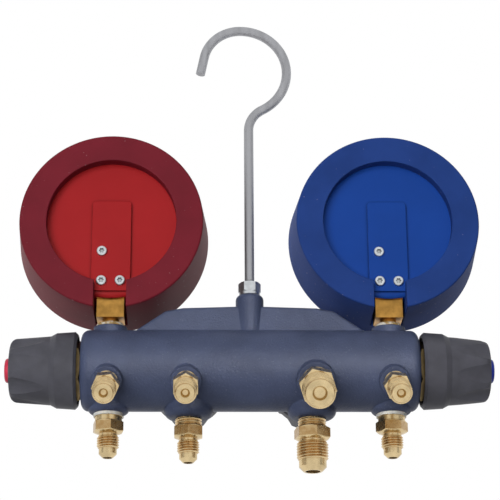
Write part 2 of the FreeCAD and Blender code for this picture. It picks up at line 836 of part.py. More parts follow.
def parking_post(name):
    """A blind post that a spare hose is screwed on to: collar, hexagon, thread and centre dimple."""
    station, size = POSTS[name]
    base = park_point(station, "park_boss_reach")
    collar = f"park_{size}_collar_radius"
    thread = POST_THREAD[size]
    dimple = f"park_{size}_dimple_radius"
    hex_high = "park_collar_height + park_hex_height"
    shank, groove = f"({collar} - park_undercut)", f"{hex_high} + park_groove_width"
    end = f"{hex_high} + park_thread_height"
    turning = turned(f"post_turning_{name}", [
        ("0", "-park_hole_depth"),
        (shank, "-park_hole_depth"),
        (shank, "0"),
        (collar, "0"),
        (collar, "park_collar_height"),
        (shank, "park_collar_height"),
        (shank, groove),
        (thread, f"{groove} + {thread} - {shank}"),
        (thread, f"{end} - park_end_chamfer"),
        (f"{thread} - park_end_chamfer", end),
        (dimple, end),
        (f"{dimple} - park_dimple_taper", f"{end} - park_dimple_depth"),
        ("0", f"{end} - park_dimple_depth - park_dimple_point"),
    ], base, "park")
    nut = chamfered_hexagon(f"post_{name}", f"park_{size}_hex_flats", "park_collar_height",
                            "park_hex_height", "0", base, "park", f"post_turn_{name}")
    node(fuse(f"parking_post_{name}", turning, nut), f"parking_post_{name}")


def thread_tape():
    """Rings of sealing tape left at the mouths of the pipe threads."""
    rings = []
    for name, (station, drop, size) in PORTS.items():
        if name in GAUGES:
            rings.append(tape_ring(f"port_{name}", f"{size}_collar_radius",
                                   f"{size}_collar_radius + tape_thickness", "tape_height",
                                   (station, "0", f"{AXIS_LEVEL} - {drop}"), "down"))
    for side, station in GAUGES.items():
        rings.append(tape_ring(f"gauge_{side}", "stem_neck_radius", "sealant_radius", "sealant_height",
                               (station, "0", f"{AXIS_LEVEL} + gauge_boss_top"), "up"))
    node(group("thread_tape", *rings), "thread_tape")


def tape_ring(name, bore, radius, height, at, facing):
    outer = cylinder(f"tape_outer_{name}", radius, height, at, facing)
    inner = cylinder(f"tape_inner_{name}", bore, height, at, facing)
    return cut(f"tape_{name}", outer, inner)


def hook():
    """Bent wire: threaded foot, straight stem, a small bend out and a wide bend back over the top."""
    centre_height = "seat_height - sqrt((hook_bend_radius - wire_radius)^2 - hook_bend_offset^2)"
    bend_start = f"{centre_height} - hook_bend_rise"
    small = ("(hook_bend_rise^2 + hook_bend_offset^2 - hook_bend_radius^2) / 2"
             " / (hook_bend_radius - hook_bend_offset)")
    start_x, start_z = 0.0, number(bend_start)
    centre_x, centre_z = number("hook_bend_offset"), number(centre_height)
    wide_radius, tip_radius = number("hook_bend_radius"), number("hook_tip_radius")
    small_radius = number(small)
    toward = math.atan2(centre_z - start_z, centre_x + small_radius)
    tip_turn = math.radians(number("hook_tip_turn"))
    flat = FreeCAD.Vector(0, 0, 1)

    def arc(x, z, radius, low, high):
        return Part.ArcOfCircle(Part.Circle(FreeCAD.Vector(x, z, 0), flat, radius), low, high)

    body = doc.addObject("PartDesign::Body", "hook_bent_wire")
    path = plane_sketch(body, "hook_path")
    tip_z = centre_z + wide_radius - tip_radius
    end = FreeCAD.Vector(centre_x + tip_radius * math.sin(tip_turn),
                         tip_z + tip_radius * math.cos(tip_turn), 0)
    length = number("hook_tip_length")
    far = end + FreeCAD.Vector(math.cos(tip_turn), -math.sin(tip_turn), 0) * length
    path.addGeometry([
        Part.LineSegment(FreeCAD.Vector(0, number("hook_thread_top"), 0),
                         FreeCAD.Vector(start_x, start_z, 0)),
        arc(-small_radius, start_z, small_radius, 0, toward),
        arc(centre_x, centre_z, wide_radius, math.pi / 2, math.pi + toward),
        arc(centre_x, tip_z, tip_radius, math.pi / 2 - tip_turn, math.pi / 2),
        Part.LineSegment(end, far),
    ], False)
    stem, bend, crown, nose, tail = range(5)
    hold(path, "DistanceX", stem, 1, "0")
    hold(path, "DistanceY", stem, 1, "hook_thread_top")
    hold(path, "DistanceX", stem, 2, "0")
    hold(path, "DistanceY", stem, 2, bend_start)
    path.addConstraint([
        Sketcher.Constraint("Tangent", stem, 2, bend, 1),
        Sketcher.Constraint("Tangent", bend, 2, crown, 2),
        Sketcher.Constraint("Tangent", crown, 1, nose, 2),
        Sketcher.Constraint("Tangent", nose, 1, tail, 1),
    ])
    hold(path, "DistanceX", crown, 3, "hook_bend_offset")
    hold(path, "DistanceY", crown, 3, centre_height)
    hold(path, "DistanceX", nose, 3, "hook_bend_offset")
    for edge, radius in ((crown, "hook_bend_radius"), (nose, "hook_tip_radius")):
        index = path.addConstraint(Sketcher.Constraint("Radius", edge, number(radius)))
        path.setExpression(f"Constraints[{index}]", formula(radius))
    index = path.addConstraint(Sketcher.Constraint("Distance", tail, length))
    path.setExpression(f"Constraints[{index}]", formula("hook_tip_length"))
    hold(path, "DistanceX", tail, 1, "hook_bend_offset + hook_tip_radius * sin(hook_tip_turn * 1deg)")

    wire = plane_sketch(body, "hook_wire", "XY_Plane")
    lift = FreeCAD.Vector(0, 0, number("hook_thread_top"))
    wire.AttachmentOffset = FreeCAD.Placement(lift, FreeCAD.Rotation())
    wire.setExpression("AttachmentOffset.Base.z", formula("hook_thread_top"))
    wire.addGeometry(Part.Circle(FreeCAD.Vector(0, 0, 0), flat, number("wire_radius")), False)
    wire.addConstraint(Sketcher.Constraint("Coincident", 0, 3, -1, 1))
    index = wire.addConstraint(Sketcher.Constraint("Radius", 0, number("wire_radius")))
    wire.setExpression(f"Constraints[{index}]", formula("wire_radius"))
    pipe = body.newObject("PartDesign::AdditivePipe", "hook_pipe")
    pipe.Profile = wire
    pipe.Spine = path
    place(body, ("0", "0", AXIS_LEVEL))

    foot = cylinder("hook_foot", "hook_thread_radius", "hook_thread_top - hook_hole_floor - hook_foot_gap",
                    ("0", "0", f"{AXIS_LEVEL} + hook_hole_floor + hook_foot_gap"))
    node(fuse("hook_whole", body, foot), "hook")

    seat = ("0", "0", f"{AXIS_LEVEL} + hook_boss_top")
    ring = cylinder("washer_disc", "washer_radius", "washer_height", seat)
    hole = cylinder("washer_hole", "hook_thread_radius", "washer_height", seat)
    node(cut("hook_washer", ring, hole), "hook_washer")
    on_washer = ("0", "0", f"{AXIS_LEVEL} + hook_boss_top + washer_height")
    node(chamfered_hexagon("hook_nut", "nut_flats", "0", "nut_height", "hook_thread_radius",
                           on_washer, "up"), "hook_nut")


def gauge_at(station, across="0", up="0", level="0"):
    """Formulas of a point on a gauge: across and up its face, and forward of its back."""
    return (f"{station} + {across}", f"gauge_back - ({level})", f"{AXIS_LEVEL} + gauge_height + {up}")


def gauge_boot(side, station):
    """The thick rubber boot: a flared ring with a lip at each end and a slot for the stem."""
    lip_start, back_radius = "boot_depth - boot_front_lip", "case_radius + boot_back_wall"
    boot = turned(f"boot_ring_{side}", [
        (BOOT_OPENING_RADIUS, "-boot_overhang"),
        (back_radius, "-boot_overhang"),
        (BOOT_FRONT_RADIUS, "boot_depth"),
        ("case_radius - boot_front_cover", "boot_depth"),
        ("case_radius - boot_front_cover", lip_start),
        (BEZEL_RADIUS, lip_start),
        (BEZEL_RADIUS, "bezel_level"),
        ("case_radius", "bezel_level"),
        ("case_radius", "boot_lip"),
        (BOOT_OPENING_RADIUS, "boot_lip"),
    ], gauge_at(station), "front", rounds=[
        (back_radius, "-boot_overhang", "boot_edge_round"),
        (BOOT_FRONT_RADIUS, "boot_depth", "boot_edge_round"),
    ])
    slot = block(f"boot_slot_{side}", "boot_notch_width",
                 "boot_notch_depth + boot_overhang + cut_overrun", BOOT_FRONT_RADIUS,
                 (f"{station} - boot_notch_width / 2", "gauge_back - boot_notch_depth",
                  f"{AXIS_LEVEL} + gauge_height - {BOOT_FRONT_RADIUS}"))
    inside = cylinder(f"boot_inside_{side}", f"{BOOT_OPENING_RADIUS} - boot_notch_overlap", "boot_depth",
                      gauge_at(station), "front")
    recess = block(f"boot_panel_recess_{side}", "panel_width + 2 * panel_gap",
                   "panel_height + panel_gap", PANEL_FOOT,
                   (f"{station} - panel_width / 2 - panel_gap", "gauge_back - boot_lip",
                    f"{AXIS_LEVEL} + gauge_height - {PANEL_FOOT} - panel_gap"))
    notch = cut(f"boot_notch_{side}", slot, inside)
    node(cut(f"gauge_boot_{side}", boot, notch, recess), f"gauge_boot_{side}")


def gauge_case(side, station):
    """The pressed case: a cup with a raised panel on its back and a slot for the stem."""
    front = "boot_lip + case_depth"
    cup = turned(f"case_cup_{side}", [
        ("0", "boot_lip"),
        ("case_radius", "boot_lip"),
        ("case_radius", front),
        ("case_radius - case_wall", front),
        ("case_radius - case_wall", "boot_lip + case_wall"),
        ("0", "boot_lip + case_wall"),
    ], gauge_at(station), "front", rounds=[("case_radius", "boot_lip", "case_back_round")])
    panel = block(f"case_panel_{side}", "panel_width", "panel_height + case_wall / 2",
                  f"panel_top + {PANEL_FOOT}",
                  (f"{station} - panel_width / 2", "gauge_back - boot_lip - case_wall / 2",
                   f"{AXIS_LEVEL} + gauge_height - {PANEL_FOOT}"))
    doc.recompute()
    rounded = doc.addObject("Part::Fillet", f"case_panel_rounded_{side}")
    rounded.Base = panel
    top = number(f"{AXIS_LEVEL} + gauge_height + panel_top")
    size = number("panel_corner")
    rounded.Edges = [(i, size, size) for i, edge in enumerate(panel.Shape.Edges, 1)
                     if abs(edge.CenterOfMass.z - top) < TOUCH < edge.BoundBox.YLength - TOUCH]
    slot = block(f"case_slot_{side}", "stem_width",
                 "stem_width / 2 + gauge_back - boot_lip - case_wall", "case_slot_height",
                 (f"{station} - stem_width / 2", "-stem_width / 2",
                  f"{AXIS_LEVEL} + gauge_height - case_radius - case_wall"))
    holes = [cylinder(f"case_hole_{side}_{i}", "screw_shank_radius", "boot_lip + case_wall",
                      gauge_at(station, across, up), "front")
             for i, (across, up) in enumerate(SCREWS)]
    node(cut(f"gauge_case_{side}", fuse(f"case_pressing_{side}", cup, rounded), slot, *holes),
         f"gauge_case_{side}")


def case_screws():
    """Three screws in the back of each gauge, which hold the case to the stem's head."""
    screws = []
    face = "boot_lip - panel_height"
    for side, station in GAUGES.items():
        for i, (across, up) in enumerate(SCREWS):
            screws.append(turned(f"screw_{side}_{i}", [
                ("0", f"{face} - screw_head_height"),
                ("screw_head_radius", f"{face} - screw_head_height"),
                ("screw_head_radius", face),
                ("screw_shank_radius", face),
                ("screw_shank_radius", f"{face} + screw_length"),
                ("0", f"{face} + screw_length"),
            ], gauge_at(station, across, up), "front"))
    node(group("case_screws", *screws), "case_screws")


def gauge_stem(side, station):
    """The brass stem: pipe shank, square block below the case and a head that carries the works."""
    shank = turned(f"stem_shank_{side}", [
        ("0", "gauge_boss_top - pipe_hole_depth"),
        ("stem_shank_radius", "gauge_boss_top - pipe_hole_depth"),
        ("stem_shank_radius", "gauge_boss_top"),
        ("stem_neck_radius", "gauge_boss_top"),
        ("stem_neck_radius", "stem_bottom"),
        ("0", "stem_bottom"),
    ], (station, "0", AXIS_LEVEL))
    square = block(f"stem_square_{side}", "stem_width", "stem_width", f"{STEM_SHELF} - stem_bottom",
                   (f"{station} - stem_width / 2", "-stem_width / 2", f"{AXIS_LEVEL} + stem_bottom"))
    head_top = "gauge_height - stem_head_drop"
    head = block(f"stem_head_{side}", "stem_width", "stem_head_front - boot_lip - case_wall",
                 f"{head_top} - {STEM_SHELF}",
                 (f"{station} - stem_width / 2", "gauge_back - stem_head_front",
                  f"{AXIS_LEVEL} + {STEM_SHELF}"))
    bore = cylinder(f"stem_bore_{side}", "stem_bore_radius", "gauge_height - tube_radius",
                    (station, "0", AXIS_LEVEL))
    tube_seat = tube_solid(f"stem_socket_{side}", station, "0")
    screws = [cylinder(f"stem_hole_{side}_{i}", "screw_shank_radius",
                       "boot_lip - panel_height + screw_length", gauge_at(station, across, up), "front")
              for i, (across, up) in enumerate(SCREWS)]
    node(cut(f"gauge_stem_{side}", fuse(f"stem_whole_{side}", shank, square, head), bore, tube_seat, *screws),
         f"gauge_stem_{side}")


def tube_solid(name, station, wall):
    """A flattened tube bent round most of a circle, made thinner all round by a wall."""
    body = doc.addObject("PartDesign::Body", name)
    sketch = plane_sketch(body, f"{name}_section", "YZ_Plane")
    width, depth = f"(tube_width / 2 - {wall})", f"(tube_thickness / 2 - {wall})"
    closed_outline(sketch, [
        (f"-tube_radius - {depth}", f"tube_centre - {width}"),
        (f"-tube_radius + {depth}", f"tube_centre - {width}"),
        (f"-tube_radius + {depth}", f"tube_centre + {width}"),
        (f"-tube_radius - {depth}", f"tube_centre + {width}"),
    ])
    turn = body.newObject("PartDesign::Revolution", f"{name}_bend")
    turn.Profile = sketch
    turn.ReferenceAxis = (sketch, ["V_Axis"])
    bind(turn, Angle="tube_turn")
    return place(body, gauge_at(station), "front")


def bourdon_tube(side, station):
    """The hollow flattened tube that straightens under pressure."""
    outer = tube_solid(f"tube_outer_{side}", station, "0")
    inner = tube_solid(f"tube_inner_{side}", station, "tube_wall")
    node(cut(f"bourdon_tube_{side}", outer, inner), f"bourdon_tube_{side}")


def movement(side, station):
    """Two plates on four pillars that also carry the dial, with bearing holes for the arbors."""
    back = "stem_head_front"
    front = f"{back} + plate_thickness + plate_spacing"
    plates = [block(f"plate_{side}_{i}", "2 * plate_half_width", "plate_thickness",
                    "plate_upper_length + plate_lower_length",
                    (f"{station} - plate_half_width", f"gauge_back - ({level}) - plate_thickness",
                     f"{AXIS_LEVEL} + gauge_height - plate_lower_length"))
              for i, level in enumerate((back, front))]
    pillars = [cylinder(f"pillar_{side}_{i}", "pillar_radius", f"dial_level - {back}",
                        gauge_at(station, f"{x} * (plate_half_width - pillar_inset)", up, back), "front")
               for i, (x, up) in enumerate([(1, "plate_upper_length - pillar_inset"),
                                            (-1, "plate_upper_length - pillar_inset"),
                                            (1, "pillar_inset - plate_lower_length"),
                                            (-1, "pillar_inset - plate_lower_length")])]
    bearings = [
        cylinder(f"pinion_bearing_{side}", "arbor_radius + running_gap", front,
                 gauge_at(station, level="boot_lip + case_wall"), "front"),
        cylinder(f"sector_bearing_{side}", "sector_pin_radius + running_gap", front,
                 gauge_at(station, up=f"-({GEAR_DISTANCE})", level="boot_lip + case_wall"), "front"),
    ]
    node(cut(f"movement_frame_{side}", fuse(f"movement_whole_{side}", *plates, *pillars), *bearings),
         f"movement_frame_{side}")


GEAR_DISTANCE = "gear_module * (pinion_teeth + sector_teeth) / 2"


def sector_gear(side, station):
    """The toothed sector that turns the pinion, on its own pin between the plates."""
    pitch = "gear_module * sector_teeth / 2"
    disc = cylinder(f"sector_disc_{side}", f"{pitch} - gear_backlash", "gear_thickness",
                    gauge_at(station, up=f"-({GEAR_DISTANCE})", level="gear_level"), "front")
    disc.setExpression("Angle", formula("2 * sector_half_angle"))
    spin(disc, "90 - sector_rest_turn - sector_half_angle", "front")
    hub = cylinder(f"sector_hub_{side}", "sector_hub_radius", "plate_spacing - 2 * sector_hub_gap",
                   gauge_at(station, up=f"-({GEAR_DISTANCE})",
                            level="stem_head_front + plate_thickness + sector_hub_gap"), "front")
    pin = cylinder(f"sector_pin_{side}", "sector_pin_radius",
                   "plate_spacing + 2 * (plate_thickness - arbor_inset)",
                   gauge_at(station, up=f"-({GEAR_DISTANCE})",
                            level="stem_head_front + arbor_inset"), "front")
    node(fuse(f"sector_gear_{side}", disc, hub, pin), f"sector_gear_{side}")


def pointer(side, station):
    """The needle, its hub and the arbor with the pinion on it."""
    pitch = "gear_module * pinion_teeth / 2"
    arbor = turned(f"pointer_arbor_{side}", [
        ("0", "stem_head_front + arbor_inset"),
        ("arbor_radius", "stem_head_front + arbor_inset"),
        ("arbor_radius", "gear_level - pinion_overhang"),
        (f"{pitch} - gear_backlash", "gear_level - pinion_overhang"),
        (f"{pitch} - gear_backlash", "gear_level + gear_thickness + pinion_overhang"),
        ("arbor_radius", "gear_level + gear_thickness + pinion_overhang"),
        ("arbor_radius", "pointer_level - pointer_hub_drop"),
        ("pointer_hub_radius", "pointer_level - pointer_hub_drop"),
        ("pointer_hub_radius", "pointer_level + pointer_hub_height"),
        ("0", "pointer_level + pointer_hub_height"),
    ], gauge_at(station), "front")
    body = doc.addObject("PartDesign::Body", f"needle_{side}")
    sketch = plane_sketch(body, f"needle_outline_{side}", "XY_Plane")
    closed_outline(sketch, [
        ("-pointer_tail", "-pointer_width / 2"),
        ("0", "-pointer_width / 2"),
        ("pointer_length", "-pointer_tip_width / 2"),
        ("pointer_length", "pointer_tip_width / 2"),
        ("0", "pointer_width / 2"),
        ("-pointer_tail", "pointer_width / 2"),
    ])
    pad = body.newObject("PartDesign::Pad", f"needle_pad_{side}")
    pad.Profile = sketch
    bind(pad, Length="pointer_thickness")
    place(body, gauge_at(station, level="pointer_level"), "front")
    spin(body, "pointer_zero", "front")
    node(fuse(f"pointer_{side}", arbor, body), f"pointer_{side}")


def gauge_front(side, station):
    """Dial plate, clear window and the ring that holds the window in the case."""
    at, dial_radius = gauge_at(station), "case_radius - case_wall - dial_gap"
    node(turned(f"dial_{side}", [
        ("dial_hole_radius", "dial_level"),
        (dial_radius, "dial_level"),
        (dial_radius, "dial_level + dial_thickness"),
        ("dial_hole_radius", "dial_level + dial_thickness"),
    ], at, "front"), f"dial_{side}")
    node(turned(f"window_{side}", [
        ("0", "window_level"),
        (WINDOW_RADIUS, "window_level"),
        (WINDOW_RADIUS, "window_level + window_thickness"),
        ("0", "window_level + window_thickness"),
    ], at, "front"), f"window_{side}")
    ring_top = "boot_depth - boot_front_lip"
    node(turned(f"bezel_{side}", [
        ("case_radius - case_wall", "bezel_level"),
        (BEZEL_RADIUS, "bezel_level"),
        (BEZEL_RADIUS, ring_top),
        (BEZEL_OPENING, ring_top),
        (BEZEL_OPENING, "window_level + window_thickness"),
        (WINDOW_RADIUS, "window_level + window_thickness"),
        (WINDOW_RADIUS, "window_level"),
        (BEZEL_OPENING, "window_level"),
        (BEZEL_OPENING, "bezel_level"),
    ], at, "front"), f"bezel_{side}")


manifold_body()
for valve_name in VALVES:
    valve(valve_name)
gland_seals()
for port_name in PORTS:
    flare_port(port_name)
for post_name in POSTS:
    parking_post(post_name)
thread_tape()
hook()
for gauge_side, gauge_station in GAUGES.items():
    gauge_boot(gauge_side, gauge_station)
    gauge_case(gauge_side, gauge_station)
    gauge_stem(gauge_side, gauge_station)
    bourdon_tube(gauge_side, gauge_station)
    movement(gauge_side, gauge_station)
    sector_gear(gauge_side, gauge_station)
    pointer(gauge_side, gauge_station)
    gauge_front(gauge_side, gauge_station)
case_screws()

doc.recompute()
for item in doc.Objects:
    if "Invalid" in item.State or "Error" in item.State:
        raise RuntimeError(f"{item.Label} did not build: {item.State}")
for item in nodes:
    if item.Shape.isNull() or not item.Shape.isValid():
        raise RuntimeError(f"{item.Label} has no valid shape")

for item in nodes:
    item.Shape.exportStep(f"parts/{item.Label}.step")
    print(item.Label, len(item.Shape.Solids), round(item.Shape.Volume, 1))
print(len(nodes), "nodes")
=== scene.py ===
import math

import bmesh
import bpy
from mathutils import Matrix, Quaternion, Vector, noise


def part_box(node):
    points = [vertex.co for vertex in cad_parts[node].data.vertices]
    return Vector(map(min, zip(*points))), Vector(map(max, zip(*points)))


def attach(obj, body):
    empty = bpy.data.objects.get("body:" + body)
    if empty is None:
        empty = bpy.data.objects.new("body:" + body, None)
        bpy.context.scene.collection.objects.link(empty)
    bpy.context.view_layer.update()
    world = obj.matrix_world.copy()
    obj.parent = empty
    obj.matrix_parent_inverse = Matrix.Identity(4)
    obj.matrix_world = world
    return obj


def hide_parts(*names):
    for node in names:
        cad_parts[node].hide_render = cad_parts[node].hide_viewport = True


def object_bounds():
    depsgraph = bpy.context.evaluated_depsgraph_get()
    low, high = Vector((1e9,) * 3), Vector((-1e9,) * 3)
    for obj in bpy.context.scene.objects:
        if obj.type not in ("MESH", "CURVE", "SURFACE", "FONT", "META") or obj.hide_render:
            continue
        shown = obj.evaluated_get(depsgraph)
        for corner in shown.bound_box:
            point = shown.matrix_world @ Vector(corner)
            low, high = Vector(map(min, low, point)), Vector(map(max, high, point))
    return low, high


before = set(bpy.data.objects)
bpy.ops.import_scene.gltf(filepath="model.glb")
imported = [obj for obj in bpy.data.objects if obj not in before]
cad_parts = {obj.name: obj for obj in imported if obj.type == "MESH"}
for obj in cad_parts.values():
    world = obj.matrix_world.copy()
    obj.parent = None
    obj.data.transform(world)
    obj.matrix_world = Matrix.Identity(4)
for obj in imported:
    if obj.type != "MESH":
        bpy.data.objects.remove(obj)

bl_info = {
    "name": "Charging manifold",
    "version": (1, 0, 0),
    "blender": (4, 5, 0),
    "location": "3D View > Sidebar > Manifold",
    "description": "Threads, hook, dials, screws, finishes and studio for a refrigerant charging manifold",
    "category": "Object",
}

CAD_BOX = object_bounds()


def box_middle(node):
    """The middle of a CAD node's box."""
    low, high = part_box(node)
    return (low + high) / 2


# Places that the pieces share, read from the CAD parts: the barrel's axis and the ports' stations along it

AXIS_LEVEL = box_middle("valve_spindle_high").z
STATIONS = {name: box_middle(f"flare_port_{name}").x for name in ("high", "charge", "vacuum", "low")}

# The station of the 3/8 inch port and post, those with a gauge above, and the hue that marks each

WIDE = "vacuum"
GAUGES = ("high", "low")
HUES = {"high": "red", "low": "blue", "charge": "yellow", "vacuum": "green"}

# A thread's depth as a share of its pitch, and a length too small to see, for points and margins

THREAD_DEPTH = 0.61
HAIR = 0.00001


# Sizes and colours that a user would change


def length(name, description, default):
    return bpy.props.FloatProperty(name=name, description=description, default=default, unit="LENGTH",
                                   subtype="DISTANCE", precision=5)


def angle(name, description, degrees):
    return bpy.props.FloatProperty(name=name, description=description, default=math.radians(degrees),
                                   subtype="ANGLE")


def colour(name, description, default):
    return bpy.props.FloatVectorProperty(name=name, description=description, default=default, size=3,
                                         subtype="COLOR", min=0, max=1)


def number(name, description, default):
    return bpy.props.FloatProperty(name=name, description=description, default=default, min=0)


# Sizes of the flare fittings, outwards from the boss: label, meaning, default for 1/4 and for 3/8 inch

FLARE_SIZES = {
    "shank_radius": ("Shank radius", "Pipe thread inside the casting", 0.005, 0.0062),
    "shank_depth": ("Shank depth", "How far the shank goes into the casting", 0.010, 0.010),
    "collar_radius": ("Collar radius", "Round collar between boss and hexagon", 0.0068, 0.0071),
    "collar_height": ("Collar height", "Length of the round collar", 0.0040, 0.0046),
    "hex_flats": ("Hexagon across flats", "Spanner size of the hexagon", 0.014, 0.0162),
    "hex_height": ("Hexagon height", "Length of the hexagon", 0.0063, 0.0065),
    "neck_radius": ("Neck radius", "Undercut behind the thread", 0.0047, 0.0069),
    "neck_height": ("Neck height", "Length of the undercut", 0.0012, 0.0009),
    "thread_radius": ("Thread radius", "Half the thread's major diameter", 0.005556, 0.007938),
    "thread_height": ("Thread length", "Length of the threaded part", 0.0061, 0.009),
    "pitch": ("Thread pitch", "Advance of one turn", 0.00127, 0.001411),
    "nose_radius": ("Nose radius", "Plain part in front of the thread", 0.0045, 0.0069),
    "nose_height": ("Nose length", "Length of that plain part", 0.00285, 0.0036),
    "tip_radius": ("Tip radius", "Where the 45 degree nose ends", 0.0026, 0.0047),
    "bore_radius": ("Bore radius", "Hole through the fitting", 0.0023, 0.0037),
}


def flare_sizes(kind, about, column):
    """A property group of the flare fittings' sizes, with the defaults of one column."""
    fields = {name: length(label, meaning, defaults[column])
              for name, (label, meaning, *defaults) in FLARE_SIZES.items()}
    return type(kind, (bpy.types.PropertyGroup,), {"__doc__": about, "__annotations__": fields})


QuarterFlareSizes = flare_sizes("QuarterFlareSizes", "The 1/4 inch flare fittings.", 0)
WideFlareSizes = flare_sizes("WideFlareSizes", "The 3/8 inch flare fitting.", 1)


class FlareSettings(bpy.types.PropertyGroup):
    """How the ports' hexagons stand turned, their edges, and the pipe thread of ports and posts."""

    turn_high: angle("High side port turn", "Turn of that hexagon about its axis", 18.0)
    turn_charge: angle("Charge port turn", "Turn of that hexagon about its axis", 30.0)
    turn_vacuum: angle("Vacuum port turn", "Turn of that hexagon about its axis", 18.0)
    turn_low: angle("Low side port turn", "Turn of that hexagon about its axis", 0.0)
    pipe_pitch: length("Pipe thread pitch", "Advance of one turn, 18 to the inch", 0.001411)
    pipe_depth: length("Pipe thread depth", "From crest to root", 0.0006)
    tip_round: length("Tip rounding", "Rounded edge at the end of the nose", 0.0004)
    shoulder: length("Shoulder", "Cone from the hexagon down to the neck", 0.0008)
    drawn_margin: length("Drawn margin", "How far inside a hexagon's ends its brown sides start", 0.0005)


class PostSizes(bpy.types.PropertyGroup):
    """The blind posts at the rear on which spare hoses are parked."""

    slope: angle("Slope", "How far the posts point below the horizontal", 27.5)
    reach: length("Boss reach", "From the barrel's axis to the boss's face", 0.0256)
    shank_depth: length("Shank depth", "How far the shank goes into the casting", 0.009)
    collar_height: length("Collar height", "Length of the round collar", 0.006)
    hex_height: length("Hexagon height", "Length of the hexagon", 0.0077)
    groove_width: length("Groove width", "Undercut behind the thread", 0.0005)
    undercut: length("Undercut depth", "How much smaller the shank is than the collar", 0.001)
    thread_length: length("Thread length", "From the hexagon to the post's end", 0.0135)
    end_chamfer: length("End chamfer", "Chamfer at the post's end", 0.0008)
    dimple_depth: length("Dimple depth", "Tapered hole in the post's end", 0.0018)
    dimple_taper: length("Dimple taper", "How much narrower the hole is at its floor", 0.0008)
    dimple_point: length("Dimple point", "Depth of the drill's point below that floor", 0.0005)
    small_collar_radius: length("Collar radius, 1/4 inch", "Round collar of the 1/4 inch posts", 0.0056)
    small_hex_flats: length("Across flats, 1/4 inch", "Spanner size of the 1/4 inch posts", 0.012)
    small_dimple_radius: length("Dimple radius, 1/4 inch", "Hole in the 1/4 inch posts' end", 0.00225)
    wide_collar_radius: length("Collar radius, 3/8 inch", "Round collar of the 3/8 inch post", 0.0076)
    wide_hex_flats: length("Across flats, 3/8 inch", "Spanner size of the 3/8 inch post", 0.0165)
    wide_dimple_radius: length("Dimple radius, 3/8 inch", "Hole in the 3/8 inch post's end", 0.0036)
    turn_high: angle("High side turn", "Turn of that post's hexagon", 6.0)
    turn_charge: angle("Charge turn", "Turn of that post's hexagon", 30.0)
    turn_vacuum: angle("Vacuum turn", "Turn of that post's hexagon", 48.0)
    turn_low: angle("Low side turn", "Turn of that post's hexagon", 54.0)


class ScrewSizes(bpy.types.PropertyGroup):
    """The pan head screws in the back of each gauge."""

    head_radius: length("Head radius", "Outer radius of the pan head", 0.00265)
    head_height: length("Head height", "Height of the pan head", 0.0017)
    crown_radius: length("Crown radius", "Flat top inside the rounded edge", 0.0019)
    socket_radius: length("Socket radius", "Mean radius of the six lobed socket", 0.00115)
    lobe_depth: length("Lobe depth", "How far the lobes stand in and out", 0.00022)
    socket_depth: length("Socket depth", "Depth of the socket", 0.001)
    socket_lip: length("Socket lip", "Chamfer round the socket", 0.00012)
    shank_radius: length("Shank radius", "Radius of the screw's shank", 0.0015)
    shank_length: length("Shank length", "Length of the shank below the head", 0.008)
    spread: length("Spread", "Half the distance between the lower two screws", 0.00475)
    low_drop: length("Lower drop", "Lower screws below the gauge's middle", 0.0313)
    high_drop: length("Upper drop", "Upper screw below the gauge's middle", 0.0154)


class HookSizes(bpy.types.PropertyGroup):
    """The hanging hook of round wire, hung from the origin."""

    wire_radius: length("Wire radius", "Half the wire's thickness", 0.0025)
    foot_radius: length("Foot radius", "Half the major diameter of the foot's thread", 0.003)
    foot_low: length("Foot's end", "Height of the foot's lower end above the barrel's axis", 0.025)
    thread_top: length("Thread top", "Height at which the thread ends, above the barrel's axis", 0.0482)
    pitch: length("Thread pitch", "Advance of one turn", 0.001)
    bend_rise: length("Bend rise", "From the end of the straight stem to the bend's centre", 0.0342)
    bend_radius: length("Bend radius", "Radius of the wide bend", 0.025)
    bend_offset: length("Bend offset", "How far the bend's centre lies beside the stem", 0.00435)
    tip_radius: length("Tip radius", "Radius of the bend from the crown to the tip", 0.0198)
    tip_turn: angle("Tip turn", "Angle of that bend", 78.5)
    tip_length: length("Tip length", "Straight end behind it", 0.0104)


class WasherSizes(bpy.types.PropertyGroup):
    """The split spring washer under the hook's nut."""

    bore_radius: length("Bore radius", "Hole in the washer", 0.0031)
    thickness: length("Thickness", "Thickness of the wire it is wound from", 0.0015)
    gap: angle("Gap", "Angle of the split", 9.0)


class SealSizes(bpy.types.PropertyGroup):
    """Sealant round the gauge stems and tape at the outer ports."""

    bead_bore: length("Bead bore", "Inner radius of the sealant, inside the stem", 0.0042)
    bead_radius: length("Bead radius", "Outer radius of the sealant round a stem", 0.0072)
    bead_height: length("Bead height", "Height of the sealant above the boss", 0.0026)
    bead_unevenness: length("Bead unevenness", "How far the bead wanders in and out", 0.0006)
    tape_radius: length("Tape radius", "Outer radius of the tape at a port", 0.0076)
    tape_height: length("Tape height", "Width of tape that shows at a port", 0.0015)
    tape_unevenness: length("Tape unevenness", "How far the tape's edge wanders", 0.0003)


